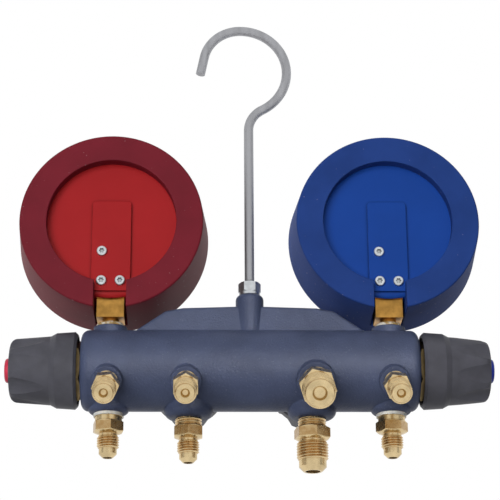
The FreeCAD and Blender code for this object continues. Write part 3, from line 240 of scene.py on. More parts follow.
class DialSizes(bpy.types.PropertyGroup):
    """The printed scales of the two gauges."""

    print_height: length("Print height", "Thickness of the printed marks", 0.00006)
    first_angle: angle("First angle", "Where the scale starts, from the right", 225.0)
    sweep: angle("Sweep", "Angle from zero to full scale", 270.0)
    outer_radius: length("Outer radius", "Outer end of the outer scale's marks", 0.0350)
    major_length: length("Long mark", "Length of a numbered mark", 0.0036)
    minor_length: length("Short mark", "Length of a mark between", 0.0020)
    major_width: length("Long mark width", "Width of a numbered mark", 0.00055)
    minor_width: length("Short mark width", "Width of a mark between", 0.00028)
    number_radius: length("Number radius", "Where the outer numbers stand", 0.0276)
    number_size: length("Number size", "Height of the outer numbers' letters", 0.0050)
    inner_radius: length("Inner radius", "Outer end of the inner scale's marks", 0.0218)
    inner_length: length("Inner mark", "Length of the inner scale's marks", 0.0016)
    inner_number_radius: length("Inner number radius", "Where the inner numbers stand", 0.0172)
    inner_number_size: length("Inner number size", "Height of the inner numbers' letters", 0.0032)
    band_radius: length("Band radius", "Middle of the coloured band", 0.0236)
    band_width: length("Band width", "Width of the coloured band", 0.0014)
    bar_drop: length("Bar drop", "The word bar, below the dial's middle", 0.0255)
    bar_size: length("Bar size", "Height of the word bar", 0.0046)
    psi_drop: length("Psi drop", "The word psi, below the dial's middle", 0.0185)
    psi_size: length("Psi size", "Height of the word psi", 0.0036)


class FinishColours(bpy.types.PropertyGroup):
    """The colours of the finishes."""

    casting: colour("Casting paint", "Satin paint on the casting", (0.052, 0.065, 0.118))
    brass: colour("Brass", "Machined brass", (0.67, 0.52, 0.29))
    # Darker and more orange than the brass: painted shade under the boots and painted reflection of the red
    # boot
    stem: colour("Stem brass", "Tarnished brass of the gauge stems", (0.500, 0.268, 0.064))
    # Darker than the brass: painted shade in the gaps behind the knobs
    gland: colour("Gland brass", "Dull brass in the gaps behind the knobs", (0.200, 0.145, 0.070))
    knob: colour("Knob", "Matt moulded plastic", (0.064, 0.064, 0.077))
    boot_red: colour("High side boot", "Soft rubber", (0.126, 0.007, 0.015))
    boot_blue: colour("Low side boot", "Soft rubber", (0.016, 0.043, 0.183))
    case_red: colour("High side case", "Satin paint", (0.300, 0.012, 0.014))
    case_blue: colour("Low side case", "Satin paint", (0.008, 0.046, 0.250))
    cap_red: colour("High side cap", "Moulded plastic", (0.480, 0.030, 0.062))
    cap_blue: colour("Low side cap", "Moulded plastic", (0.024, 0.044, 0.380))
    cap_yellow: colour("Charge cap", "Moulded plastic", (0.700, 0.420, 0.020))
    cap_green: colour("Vacuum cap", "Moulded plastic", (0.020, 0.220, 0.075))
    wire: colour("Hook wire", "Zinc plated wire", (0.400, 0.405, 0.425))
    zinc: colour("Bright zinc", "Bright plated steel", (0.600, 0.630, 0.650))
    bezel: colour("Bezel", "Chrome plated steel", (0.600, 0.600, 0.610))
    seal: colour("Seals", "Black rubber rings", (0.012, 0.012, 0.012))
    sealant: colour("Sealant", "Tape and sealant", (0.800, 0.790, 0.740))
    sealed_brass: colour("Sealed brass", "Brass that shows through the sealant", (0.380, 0.250, 0.080))
    window: colour("Window", "Clear plastic", (0.900, 0.930, 0.930))
    dial: colour("Dial", "Matt white dial", (0.860, 0.860, 0.840))
    pointer: colour("Pointer", "Black moulded plastic", (0.012, 0.012, 0.013))
    ink: colour("Black ink", "Marks and numbers", (0.010, 0.010, 0.011))
    ink_red: colour("Red ink", "High side band", (0.500, 0.020, 0.025))
    ink_blue: colour("Blue ink", "Low side band", (0.015, 0.070, 0.420))


class StudioSettings(bpy.types.PropertyGroup):
    """Camera, lamps and floor."""

    azimuth: angle("Azimuth", "Where the camera stands round the object", 178.46)
    elevation: angle("Elevation", "How high the camera stands", -20.13)
    roll: angle("Roll", "How far the camera is turned about its own view", -0.35)
    distance: length("Distance", "From the barrel's middle to the camera", 0.8612)
    lift: length("Lift", "How far the camera is moved up across its view", 0.06137)
    lens: number("Lens", "Focal length in millimetres", 122.4)
    floor_drop: length("Floor drop", "From the object's lowest point to the floor", 1.5)
    floor_size: length("Floor size", "Width of the floor", 12.0)
    floor_glow: number("Floor glow", "Light added to the floor where it is seen", 0.7)
    card_aside: length("Card aside", "How far a dark card stands to the side", 1.41)
    card_behind: length("Card behind", "How far it stands towards the camera", 0.51)
    card_width: length("Card width", "Width of a card", 0.5)
    card_height: length("Card height", "Height of a card", 2.4)
    card_glow: number("Card glow", "Light added to a card where it is seen", 0.4)
    aim_rise: length("Aim rise", "Where the lamps point, above the barrel's axis", 0.06)
    world_strength: number("World light", "Level of the light all round", 0.10)
    key_power: number("Key lamp", "Power of the main lamp in watts", 16.0)
    top_power: number("Top lamp", "Power of the lamp above in watts", 3.0)
    front_power: number("Front lamp", "Power of the lamp at the dials' side in watts", 13.0)
    shine_power: number("Shine lamp", "Power in watts of the lamp that only the casting reflects", 20.0)


# Mesh making


def finish_mesh(name, mesh, material, sharp=35.0):
    """Turn a bmesh into a piece's object, smooth but for edges sharper than an angle in degrees."""
    data = bpy.data.meshes.new(name)
    mesh.to_mesh(data)
    mesh.free()
    data.materials.append(material)
    data.shade_smooth()
    data.set_sharp_from_angle(angle=math.radians(sharp))
    piece = bpy.data.objects.new(name, data)
    bpy.context.scene.collection.objects.link(piece)
    return piece


def lathe(mesh, rows, columns, placing, through=False, worn=()):
    """Add a closed skin of rings: each row is a height and a radius, or a height and its radius by angle.

    A skin that is through has a hole from end to end: its last ring joins its first. The sides inside
    the worn spans of height are marked, for a finish that looks different there.
    """
    mark = mesh.faces.layers.float.get("worn") or mesh.faces.layers.float.new("worn")
    rings = []
    for height, radius in rows:
        ring = []
        for column in range(columns):
            turn = 2 * math.pi * column / columns
            reach = radius(turn) if callable(radius) else radius
            spot = Vector((reach * math.cos(turn), reach * math.sin(turn), height))
            ring.append(mesh.verts.new(placing @ spot))
        rings.append(ring)
    pairs = list(zip(rings, rings[1:]))
    if through:
        pairs.append((rings[-1], rings[0]))
    heights = [height for height, _ in rows]
    for i, (low, high) in enumerate(pairs):
        bottom, top = sorted((heights[i], heights[(i + 1) % len(rows)]))
        with_wear_and_shade = any(start <= bottom < top <= end for start, end in worn)
        for column in range(columns):
            after = (column + 1) % columns
            side = mesh.faces.new((low[column], low[after], high[after], high[column]))
            side[mark] = float(with_wear_and_shade)
    if not through:
        mesh.faces.new(list(reversed(rings[0])))
        mesh.faces.new(rings[-1])


def hexagon_reach(flats, turn):
    """How far a hexagon's side is from its middle at an angle, with a corner at angle zero."""
    sixth = math.pi / 3
    return flats / 2 / math.cos(turn % sixth - sixth / 2)


def hexagon_rows(low, high, flats, steps=6):
    """Rows of a hexagon whose corners are chamfered at both ends."""
    corner = flats / 2 / math.cos(math.pi / 6)
    slope = 2
    chamfer = (corner - flats / 2) / slope

    def row(height):
        limit = flats / 2 + slope * min(height - low, high - height)
        return height, lambda turn: min(hexagon_reach(flats, turn), limit)

    heights = [low + chamfer * step / steps for step in range(steps + 1)]
    heights += [high - chamfer * step / steps for step in range(steps, -1, -1)]
    return [row(height) for height in heights]


def thread_rows(low, high, root, crest, pitch, steps=10):
    """Rows of a thread that rises out of its root at both ends, flat at its root and crest."""
    count = math.ceil((high - low) / pitch * steps)
    run_out, slope, flat = 1.2, 1.3, 0.15

    def row(height):
        limit = min(root + height - low, root + run_out * (high - height))

        def reach(turn):
            phase = (height / pitch - turn / (2 * math.pi)) % 1
            flank = min(max(slope * abs(2 * phase - 1) - flat, 0), 1)
            return min(root + (crest - root) * flank, limit)

        return height, reach

    return [row(low + (high - low) * i / count) for i in range(count + 1)]


def bar(mesh, rings):
    """Add a bar: rings of corners joined one to the next, with its two ends closed."""
    for one, two in zip(rings, rings[1:]):
        for i in range(len(one)):
            j = (i + 1) % len(one)
            mesh.faces.new((one[i], one[j], two[j], two[i]))
    mesh.faces.new(list(reversed(rings[0])))
    mesh.faces.new(rings[-1])


def across(facing_degrees, spot):
    """Place a piece whose own Z axis is turned about X by an angle."""
    return Matrix.Translation(spot) @ Matrix.Rotation(math.radians(facing_degrees), 4, "X")


# Material making


class Finish:
    """One material's node tree round its Principled shader, with patterns on object coordinates."""

    def __init__(self, name, base, roughness, metallic=0.0, shine=0.15):
        self.material = bpy.data.materials.new(name)
        self.material.use_nodes = True
        self.tree = self.material.node_tree
        self.shader = self.tree.nodes["Principled BSDF"]
        self.shader.inputs["Metallic"].default_value = metallic
        self.shader.inputs["Roughness"].default_value = roughness
        self.shader.inputs["Specular IOR Level"].default_value = 0.5 if metallic else shine
        self.base = tuple(base)
        self.spot = self.node("ShaderNodeTexCoord").outputs["Object"]

    def node(self, kind, **values):
        item = self.tree.nodes.new(kind)
        for name, value in values.items():
            setattr(item, name, value)
        return item

    def link(self, source, target):
        self.tree.links.new(source, target)

    def grain(self, scale, detail=3.0, stretch=(1, 1, 1), roughness=0.55):
        """A noise pattern, stretched along the object's axes: its scale is in grains a metre."""
        mapping = self.node("ShaderNodeMapping")
        mapping.inputs["Scale"].default_value = stretch
        self.link(self.spot, mapping.inputs["Vector"])
        pattern = self.node("ShaderNodeTexNoise")
        pattern.inputs["Scale"].default_value = scale
        pattern.inputs["Detail"].default_value = detail
        pattern.inputs["Roughness"].default_value = roughness
        self.link(mapping.outputs["Vector"], pattern.inputs["Vector"])
        return pattern.outputs["Fac"]

    def tint(self, pattern, darker, lighter, low=0.35, high=0.65):
        """Colour from a pattern, between the base made darker and made lighter."""
        ramp = self.node("ShaderNodeValToRGB")
        ends = ramp.color_ramp.elements
        ends[0].position, ends[1].position = low, high
        ends[0].color = (*[c * darker for c in self.base], 1)
        ends[1].color = (*[min(c * lighter, 1) for c in self.base], 1)
        self.link(pattern, ramp.inputs["Fac"])
        self.link(ramp.outputs["Color"], self.shader.inputs["Base Color"])
        return ramp.outputs["Color"]

    def contrast(self, pattern, low, high, least=0.0, most=1.0):
        """A pattern stretched so that low becomes the least and high the most."""
        span = self.node("ShaderNodeMapRange")
        for name, value in (("From Min", low), ("From Max", high), ("To Min", least), ("To Max", most)):
            span.inputs[name].default_value = value
        self.link(pattern, span.inputs["Value"])
        return span.outputs["Result"]

    def rough(self, pattern, least, most):
        """Roughness from a pattern."""
        self.link(self.contrast(pattern, 0.3, 0.7, least, most), self.shader.inputs["Roughness"])

    def blend(self, share, one, two):
        """Base colour from two colours, the second one plain, by a share of the second."""
        mix = self.node("ShaderNodeMix", data_type="RGBA")
        factor, first, second = mix.inputs[0], mix.inputs[6], mix.inputs[7]
        colour_out = mix.outputs[2]
        self.link(share, factor)
        self.link(one, first)
        second.default_value = (*two, 1)
        self.link(colour_out, self.shader.inputs["Base Color"])
        return colour_out

    def times(self, one, two):
        """The product of two values, each a socket or a number."""
        product = self.node("ShaderNodeMath", operation="MULTIPLY")
        for socket, source in zip(product.inputs, (one, two)):
            if isinstance(source, (int, float)):
                socket.default_value = source
            else:
                self.link(source, socket)
        return product.outputs[0]

    def marked(self):
        """1 on the sides that the lathe marked as worn, 0 elsewhere."""
        return self.node("ShaderNodeAttribute", attribute_name="worn").outputs["Fac"]

    def specks(self, scale, level, strength, below, hue):
        """Sparse pale specks of dust or metal over a colour."""
        dots = self.contrast(self.grain(scale, 1), level, level + 0.05)
        return self.blend(self.times(dots, strength), below, hue)

    def hollow_shade(self, reach):
        """How far a point lies in a groove or corner of its own piece: none is 0."""
        sky = self.node("ShaderNodeAmbientOcclusion", samples=8, only_local=True)
        sky.inputs["Distance"].default_value = reach
        return self.contrast(sky.outputs["AO"], 0.35, 0.95, 1.0, 0.0)

    def relief(self, pattern, depth, strength=1.0, edge=0.0):
        """Bump from a pattern, its depth in metres, over edges softened by a radius."""
        bump = self.node("ShaderNodeBump")
        bump.inputs["Distance"].default_value = depth
        bump.inputs["Strength"].default_value = strength
        self.link(pattern, bump.inputs["Height"])
        if edge:
            soft = self.node("ShaderNodeBevel", samples=6)
            soft.inputs["Radius"].default_value = edge
            self.link(soft.outputs["Normal"], bump.inputs["Normal"])
        self.link(bump.outputs["Normal"], self.shader.inputs["Normal"])
        return self


def toned(base, red, green, blue):
    """A colour with a share taken of each of its parts."""
    return base[0] * red, base[1] * green, base[2] * blue


def casting_paint(base):
    """Satin paint over sand cast aluminium: soft mottling, orange peel and a few grains."""
    finish = Finish("casting paint", base, 0.42, shine=0.10)
    paint = finish.tint(finish.grain(60, 4), 0.88, 1.12)
    # Pale specks: part dust, part painted glints standing in for the paint's sparkle
    finish.specks(1300, 0.70, 0.22, paint, (0.30, 0.33, 0.40))
    peel = finish.grain(900, 5, roughness=0.6)
    finish.rough(finish.grain(140, 3), 0.36, 0.48)
    return finish.relief(peel, 0.00030, 1.0, edge=0.0012).material


def machined_brass(name, base, roughness, shade=0.82):
    """Brass with fine tool marks, brown on the drawn sides of a hexagon and in grooves."""
    finish = Finish(name, base, roughness, metallic=1.0)
    bright = finish.tint(finish.grain(220, 4), shade, 1.06)
    patches = finish.contrast(finish.grain(420, 3), 0.35, 0.65, 0.6, 1.0)
    # Marked sides go brown in patches: tarnish on a hexagon's drawn sides, painted shade on a post's groove
    # and end chamfer
    with_wear_and_shade = finish.blend(finish.times(finish.marked(), patches), bright, toned(base, 0.62, 0.50, 0.38))
    # Painted shade: grooves and corners darkened to a deeper orange brown
    finish.blend(finish.times(finish.hollow_shade(0.0012), 0.8), with_wear_and_shade, toned(base, 0.72, 0.48, 0.24))
    finish.rough(finish.grain(500, 3), roughness - 0.06, roughness + 0.08)
    return finish.relief(finish.grain(1500, 2, (1, 1, 6)), 0.00003, 0.5, edge=0.00022).material


def soft_rubber(name, base, shine):
    """Matt rubber, mottled and dusty, with a fine moulded grain."""
    finish = Finish(name, base, 0.57, shine=shine)
    rubber = finish.tint(finish.grain(45, 5), 0.90, 1.10)
    finish.specks(700, 0.73, 0.30, rubber, (0.45, 0.40, 0.42))
    return finish.relief(finish.grain(2600, 3), 0.00006, 0.5, edge=0.0008).material


def case_paint(name, base):
    """Satin paint on a pressed steel case, darker along the foot of the raised panel."""
    finish = Finish(name, base, 0.40, shine=0.08)
    paint = finish.tint(finish.grain(35, 3), 0.95, 1.05)
    # Painted shade along the foot of the raised panel and in other hollows
    finish.blend(finish.times(finish.hollow_shade(0.0018), 0.9), paint, toned(base, 0.25, 0.25, 0.25))
    finish.rough(finish.grain(260, 3), 0.36, 0.46)
    return finish.relief(finish.grain(1300, 3), 0.00003, 0.35, edge=0.0005).material


def moulded_plastic(name, base, roughness, grain_depth):
    """Moulded plastic with a spark eroded grain."""
    finish = Finish(name, base, roughness)
    finish.tint(finish.grain(90, 5), 0.86, 1.15)
    return finish.relief(finish.grain(3200, 2), grain_depth, 0.5, edge=0.0004).material


def plated_steel(name, base, roughness, stretch):
    """Plated steel with drawing marks along one axis, dark in its sockets."""
    finish = Finish(name, base, roughness, metallic=1.0)
    plating = finish.tint(finish.grain(350, 4, stretch), 0.86, 1.10)
    # Painted shade in sockets, thread roots and other hollows
    finish.blend(finish.times(finish.hollow_shade(0.0012), 0.9), plating, toned(base, 0.12, 0.12, 0.12))
    finish.rough(finish.grain(700, 3, stretch), roughness - 0.05, roughness + 0.09)
    return finish.relief(finish.grain(1800, 3, stretch), 0.00003, 0.4, edge=0.0002).material


def print_ink(name, base):
    """Printed ink, faintly uneven."""
    finish = Finish(name, base, 0.5)
    finish.tint(finish.grain(900, 2), 0.92, 1.06)
    return finish.relief(finish.grain(2500, 2), 0.00001, 0.3).material


def sealant(base, brass):
    """Tape, milky and waxy, and where it is marked as worn, sealant with the brass showing through."""
    finish = Finish("sealant", base, 0.38)
    white = finish.tint(finish.grain(400, 4), 0.86, 1.05)
    patches = finish.contrast(finish.grain(420, 3), 0.42, 0.56, 0.25, 1.0)
    finish.blend(finish.times(finish.marked(), patches), white, brass)
    finish.shader.inputs["Subsurface Weight"].default_value = 0.35
    finish.shader.inputs["Subsurface Radius"].default_value = (0.0015, 0.0013, 0.0010)
    finish.shader.inputs["Transmission Weight"].default_value = 0.15
    return finish.relief(finish.grain(1200, 4), 0.00025, 0.7).material


def clear_window(base):
    """Clear polycarbonate: seen through, with a clean reflection."""
    finish = Finish("window", base, 0.04, shine=0.5)
    finish.tint(finish.grain(30, 2), 0.98, 1.0)
    finish.shader.inputs["Alpha"].default_value = 0.12
    return finish.relief(finish.grain(12, 1), 0.0002, 0.1).material


# The finishes by name, as the Finishes operator fills them in

MATERIALS = {}


def paint(node, material):
    """Give a CAD node that is kept as it is its finish."""
    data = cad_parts[node].data
    data.materials.clear()
    data.materials.append(material)


class ApplyFinishes(bpy.types.Operator):
    """Make every finish and put it on the CAD nodes that are kept"""

    bl_idname = "manifold.finishes"
    bl_label = "Finishes"

    def execute(self, context):
        tones = context.scene.manifold_colours
        MATERIALS.update({
            "casting": casting_paint(tones.casting),
            "brass": machined_brass("brass", tones.brass, 0.27),
            "brass_works": machined_brass("brass works", tones.brass, 0.34, 0.9),
            # The stems' brass is a darker, more orange copy: painted shade and painted reflection of the red
            # boot
            "stem": machined_brass("stem brass", tones.stem, 0.36, 0.7),
            # The glands' brass is a darker copy: painted shade behind the knobs
            "gland": machined_brass("gland brass", tones.gland, 0.4, 0.7),
            "knob": moulded_plastic("knob plastic", tones.knob, 0.50, 0.00005),
            "wire": plated_steel("hook wire", tones.wire, 0.52, (1, 1, 0.05)),
            "zinc": plated_steel("bright zinc", tones.zinc, 0.34, (1, 1, 1)),
            "bezel": plated_steel("bezel chrome", tones.bezel, 0.14, (1, 0.2, 1)),
            "seal": moulded_plastic("seal rubber", tones.seal, 0.5, 0.00002),
            "dial": print_ink("dial white", tones.dial),
            "ink": print_ink("black ink", tones.ink),
            "ink_red": print_ink("red ink", tones.ink_red),
            "ink_blue": print_ink("blue ink", tones.ink_blue),
            "pointer": moulded_plastic("pointer black", tones.pointer, 0.45, 0.00001),
            "sealant": sealant(tones.sealant, tones.sealed_brass),
            "window": clear_window(tones.window),
        })
        for side, shine in (("high", 0.17), ("low", 0.05)):
            hue = HUES[side]
            MATERIALS[f"boot_{side}"] = soft_rubber(f"boot {hue}", getattr(tones, f"boot_{hue}"), shine)
            MATERIALS[f"case_{side}"] = case_paint(f"case {hue}", getattr(tones, f"case_{hue}"))
        for valve, hue in HUES.items():
            tone = getattr(tones, f"cap_{hue}")
            MATERIALS[f"cap_{valve}"] = moulded_plastic(f"cap {hue}", tone, 0.3, 0.00001)

        for node, look in (("manifold_body", "casting"), ("hook_nut", "zinc"), ("gland_seals", "seal")):
            paint(node, MATERIALS[look])
        for valve in STATIONS:
            for part, look in (("valve_gland", "gland"), ("valve_spindle", "brass_works"),
                               ("valve_piston", "brass_works"), ("piston_seals", "seal"),
                               ("knob", "knob"), ("knob_cap", f"cap_{valve}")):
                paint(f"{part}_{valve}", MATERIALS[look])
        for side in GAUGES:
            for part, look in (("gauge_boot", f"boot_{side}"), ("gauge_case", f"case_{side}"),
                               ("bourdon_tube", "brass_works"), ("movement_frame", "brass_works"),
                               ("sector_gear", "brass_works"), ("gauge_stem", "stem"), ("dial", "dial"),
                               ("pointer", "pointer"), ("window", "window"), ("bezel", "bezel")):
                paint(f"{part}_{side}", MATERIALS[look])
        return {"FINISHED"}


def pipe_rows(height, radius, settings):
    """Rows of a collar with a pipe thread."""
    return thread_rows(0, height, radius - settings.pipe_depth, radius, settings.pipe_pitch)


def port_rows(sizes, flare, threaded):
    """Rows of a flare fitting from the boss outwards, its length and the span of its hexagon's sides."""
    hex_low = sizes.collar_height
    hex_high = hex_low + sizes.hex_height
    neck = hex_high + sizes.neck_height
    thread = neck + sizes.thread_height
    nose = thread + sizes.nose_height
    tip = nose + sizes.nose_radius - sizes.tip_radius
    root = sizes.thread_radius - THREAD_DEPTH * sizes.pitch
    edge = flare.tip_round
    collar = [(0, sizes.collar_radius), (hex_low, sizes.collar_radius)]
    if threaded:
        collar = pipe_rows(hex_low, sizes.collar_radius, flare)
    rows = [
        (-sizes.shank_depth, sizes.bore_radius),
        (-sizes.shank_depth, sizes.shank_radius),
        (0, sizes.shank_radius),
        *collar,
        *hexagon_rows(hex_low, hex_high - flare.shoulder, sizes.hex_flats),
        (hex_high, sizes.neck_radius),
        (neck, sizes.neck_radius),
        *thread_rows(neck, thread, root, sizes.thread_radius, sizes.pitch),
        (thread, sizes.nose_radius),
        (nose, sizes.nose_radius),
        (tip - edge, sizes.tip_radius + edge),
        (tip - 0.3 * edge, sizes.tip_radius + 0.35 * edge),
        (tip, sizes.tip_radius - 0.3 * edge),
        (tip, sizes.bore_radius),
    ]
    return rows, tip, (hex_low + flare.drawn_margin, hex_high - flare.shoulder - flare.drawn_margin)


class MakeFlarePorts(bpy.types.Operator):
    """Make the four male flare fittings with their cut threads"""

    bl_idname = "manifold.flare_ports"
    bl_label = "Flare ports"

    def execute(self, context):
        scene = context.scene
        flare = scene.manifold_flare
        for name, station in STATIONS.items():
            sizes = scene.manifold_wide_flare if name == WIDE else scene.manifold_quarter_flare
            rows, tip, drawn = port_rows(sizes, flare, threaded=name not in GAUGES)
            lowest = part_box(f"flare_port_{name}")[0].z
            turn = Matrix.Rotation(getattr(flare, f"turn_{name}"), 4, "Z")
            mesh = bmesh.new()
            placing = across(180, (station, 0, lowest + tip)) @ turn
            lathe(mesh, rows, 96, placing, through=True, worn=[drawn])
            piece = finish_mesh(f"port_{name}", mesh, MATERIALS["brass"])
            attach(piece, "manifold")
            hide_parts(f"flare_port_{name}")
        return {"FINISHED"}


def post_rows(post, flare, pipe, size):
    """Rows of a parking post of a size from the boss outwards, and the spans that are dark."""
    collar, flats, dimple = (getattr(post, f"{size}_{part}")
                             for part in ("collar_radius", "hex_flats", "dimple_radius"))
    shank = collar - post.undercut
    hex_high = post.collar_height + post.hex_height
    groove = hex_high + post.groove_width
    end = hex_high + post.thread_length
    chamfer = end - post.end_chamfer
    floor = end - post.dimple_depth
    root = flare.thread_radius - THREAD_DEPTH * flare.pitch
    end_radius = flare.thread_radius - post.end_chamfer - 0.25 * flare.pitch
    rows = [
        (-post.shank_depth, shank),
        (0, shank),
        *pipe_rows(post.collar_height, collar, pipe),
        *hexagon_rows(post.collar_height, hex_high, flats),
        (hex_high, min(shank, root)),
        (groove, min(shank, root)),
        *thread_rows(groove, chamfer, root, flare.thread_radius, flare.pitch),
        (end, end_radius),
        (end, dimple),
        (floor, dimple - post.dimple_taper),
        (floor - post.dimple_point, HAIR),
    ]
    return rows, [(hex_high - HAIR, groove + HAIR), (chamfer - HAIR, end + HAIR)]


class MakeParkingPosts(bpy.types.Operator):
    """Make the four blind posts with their threads and centre dimples"""

    bl_idname = "manifold.parking_posts"
    bl_label = "Parking posts"

    def execute(self, context):
        scene = context.scene
        post = scene.manifold_posts
        down = post.slope
        for name in STATIONS:
            size, flare = "small", scene.manifold_quarter_flare
            if name == WIDE:
                size, flare = "wide", scene.manifold_wide_flare
            rows, dark = post_rows(post, flare, scene.manifold_flare, size)
            station = box_middle(f"parking_post_{name}").x
            mouth = (station, post.reach * math.cos(down), AXIS_LEVEL - post.reach * math.sin(down))
            turn = Matrix.Rotation(getattr(post, f"turn_{name}"), 4, "Z")
            mesh = bmesh.new()
            # The post's groove and end chamfer are marked for painted shade
            lathe(mesh, rows, 96, across(-90 - math.degrees(down), mouth) @ turn, worn=dark)
            piece = finish_mesh(f"post_{name}", mesh, MATERIALS["brass"])
            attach(piece, "manifold")
            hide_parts(f"parking_post_{name}")
        return {"FINISHED"}


def wandering(radius, unevenness, seed, width):
    """A radius by angle that wanders in and out, by noise read round a circle of a width."""
    def reach(turn):
        spot = seed + Vector((width * math.cos(turn), width * math.sin(turn), 0))
        return radius + noise.noise(spot) * unevenness
    return reach


def bead_rows(sizes, seed):
    """Rows of the bead of sealant round a stem: an uneven bulge that narrows upwards."""
    profile = ((0, 1.0), (0.3, 1.01), (0.6, 0.96), (0.85, 0.86), (1.0, 0.72))
    bulge = [(height * sizes.bead_height, wandering(width * sizes.bead_radius, sizes.bead_unevenness,
                                                    seed + Vector((0, 0, 0.6 * i)), 2.2))
             for i, (height, width) in enumerate(profile)]
    return [(0, sizes.bead_bore), *bulge, (0.7 * sizes.bead_height, sizes.bead_bore)]


def tape_rows(sizes, bore, seed):
    """Rows of the tape that shows round a port's collar."""
    edges = [(height * sizes.tape_height, wandering(sizes.tape_radius, sizes.tape_unevenness,
                                                    seed + Vector((0, 0, 5 + i)), 3))
             for i, height in enumerate((0, 0.6, 1))]
    return [(0, bore), *edges, (sizes.tape_height, bore)]


class MakeSeals(bpy.types.Operator):
    """Make the beads of sealant round the gauge stems and the tape at the outer ports"""

    bl_idname = "manifold.seals"
    bl_label = "Sealant and tape"

    def execute(self, context):
        sizes = context.scene.manifold_seals
        quarter = context.scene.manifold_quarter_flare
        mesh = bmesh.new()
        for side in GAUGES:
            station = STATIONS[side]
            seed = Vector((station * 90, 3.1, 0))
            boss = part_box(f"gauge_stem_{side}")[0].z + quarter.shank_depth
            lathe(mesh, bead_rows(sizes, seed), 72, Matrix.Translation((station, 0, boss)), through=True,
                  worn=[(0, sizes.bead_height)])
            mouth = across(180, (station, 0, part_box(f"flare_port_{side}")[1].z - quarter.shank_depth))
            lathe(mesh, tape_rows(sizes, quarter.collar_radius, seed), 72, mouth, through=True)
        piece = finish_mesh("seals", mesh, MATERIALS["sealant"], sharp=60)
        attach(piece, "manifold")
        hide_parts("thread_tape")
        return {"FINISHED"}


def screw_template(sizes):
    """One pan head screw with a six lobed socket, its head's seat at the origin."""
    def socket(turn):
        return sizes.socket_radius + sizes.lobe_depth * math.cos(6 * turn)

    edge = sizes.head_radius - sizes.crown_radius
    rim = sizes.head_height - edge
    round_rows = [(rim + edge * math.sin(turn), sizes.crown_radius + edge * math.cos(turn))
                  for turn in (math.radians(22.5 * step) for step in range(5))]
    mesh = bmesh.new()
    lathe(mesh, [
        (-sizes.shank_length, sizes.shank_radius),
        (0, sizes.shank_radius),
        (0, sizes.head_radius),
        *round_rows,
        (sizes.head_height, lambda turn: socket(turn) + sizes.socket_lip),
        (sizes.head_height - sizes.socket_lip, socket),
        (sizes.head_height - sizes.socket_depth, socket),
    ], 48, Matrix.Identity(4))
    return finish_mesh("screw_template", mesh, MATERIALS["zinc"])


def tree_with_inputs(name, inputs):
    """A Geometry Nodes tree with a geometry input, named inputs and a geometry output."""
    tree = bpy.data.node_groups.new(name, "GeometryNodeTree")
    tree.interface.new_socket("Geometry", in_out="INPUT", socket_type="NodeSocketGeometry")
    for label, kind in inputs:
        tree.interface.new_socket(label, in_out="INPUT", socket_type=kind)
    tree.interface.new_socket("Geometry", in_out="OUTPUT", socket_type="NodeSocketGeometry")
    start, end = tree.nodes.new("NodeGroupInput"), tree.nodes.new("NodeGroupOutput")
    return tree, start.outputs, end.inputs


def end_tree(tree, geometry, material, result):
    """End a tree in real geometry of one material."""
    solid, look = tree.nodes.new("GeometryNodeRealizeInstances"), tree.nodes.new("GeometryNodeSetMaterial")
    tree.links.new(geometry, solid.inputs["Geometry"])
    tree.links.new(solid.outputs["Geometry"], look.inputs["Geometry"])
    tree.links.new(material, look.inputs["Material"])
    tree.links.new(look.outputs["Geometry"], result["Geometry"])
    return tree


def grow(name, tree, mesh, values):
    """Run a Geometry Nodes tree on a mesh and keep the result as a plain mesh in a new object."""
    holder = bpy.data.objects.new(f"{name}_holder", mesh)
    bpy.context.scene.collection.objects.link(holder)
    modifier = holder.modifiers.new("nodes", "NODES")
    modifier.node_group = tree
    sockets = {item.name: item.identifier for item in tree.interface.items_tree if item.in_out == "INPUT"}
    for label, value in values.items():
        modifier[sockets[label]] = value
    graph = bpy.context.evaluated_depsgraph_get()
    result = bpy.data.meshes.new_from_object(holder.evaluated_get(graph), depsgraph=graph)
    holder.modifiers.remove(modifier)
    bpy.data.objects.remove(holder)
    result.name = name
    piece = bpy.data.objects.new(name, result)
    bpy.context.scene.collection.objects.link(piece)
    return piece


def placing_tree():
    """Geometry Nodes: a copy of a piece on every point, turned the same way."""
    tree, given, result = tree_with_inputs("Screws on points", [
        ("Screw", "NodeSocketObject"), ("Turn", "NodeSocketRotation"), ("Material", "NodeSocketMaterial")])
    points = tree.nodes.new("GeometryNodeMeshToPoints")
    source = tree.nodes.new("GeometryNodeObjectInfo")
    place = tree.nodes.new("GeometryNodeInstanceOnPoints")
    link = tree.links.new
    link(given["Geometry"], points.inputs["Mesh"])
    link(given["Screw"], source.inputs["Object"])
    link(points.outputs["Points"], place.inputs["Points"])
    link(source.outputs["Geometry"], place.inputs["Instance"])
    link(given["Turn"], place.inputs["Rotation"])
    return end_tree(tree, place.outputs["Instances"], given["Material"], result)


class MakeCaseScrews(bpy.types.Operator):
    """Make the three screws in the back of each gauge"""

    bl_idname = "manifold.case_screws"
    bl_label = "Case screws"

    def execute(self, context):
        sizes = context.scene.manifold_screws
        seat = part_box("case_screws")[1].y - sizes.head_height
        spots = []
        for side in GAUGES:
            middle = box_middle(f"window_{side}")
            for aside, drop in ((sizes.spread, sizes.low_drop), (-sizes.spread, sizes.low_drop),
                                (sizes.spread, sizes.high_drop)):
                spots.append((middle.x + aside, seat, middle.z - drop))
        points = bpy.data.meshes.new("screw_points")
        points.from_pydata(spots, [], [])
        template = screw_template(sizes)
        piece = grow("screws", placing_tree(), points, {
            "Screw": template, "Turn": (math.radians(-90), 0.0, 0.0), "Material": MATERIALS["zinc"]})
        bpy.data.objects.remove(template)
        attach(piece, "manifold")
        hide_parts("case_screws")
        return {"FINISHED"}


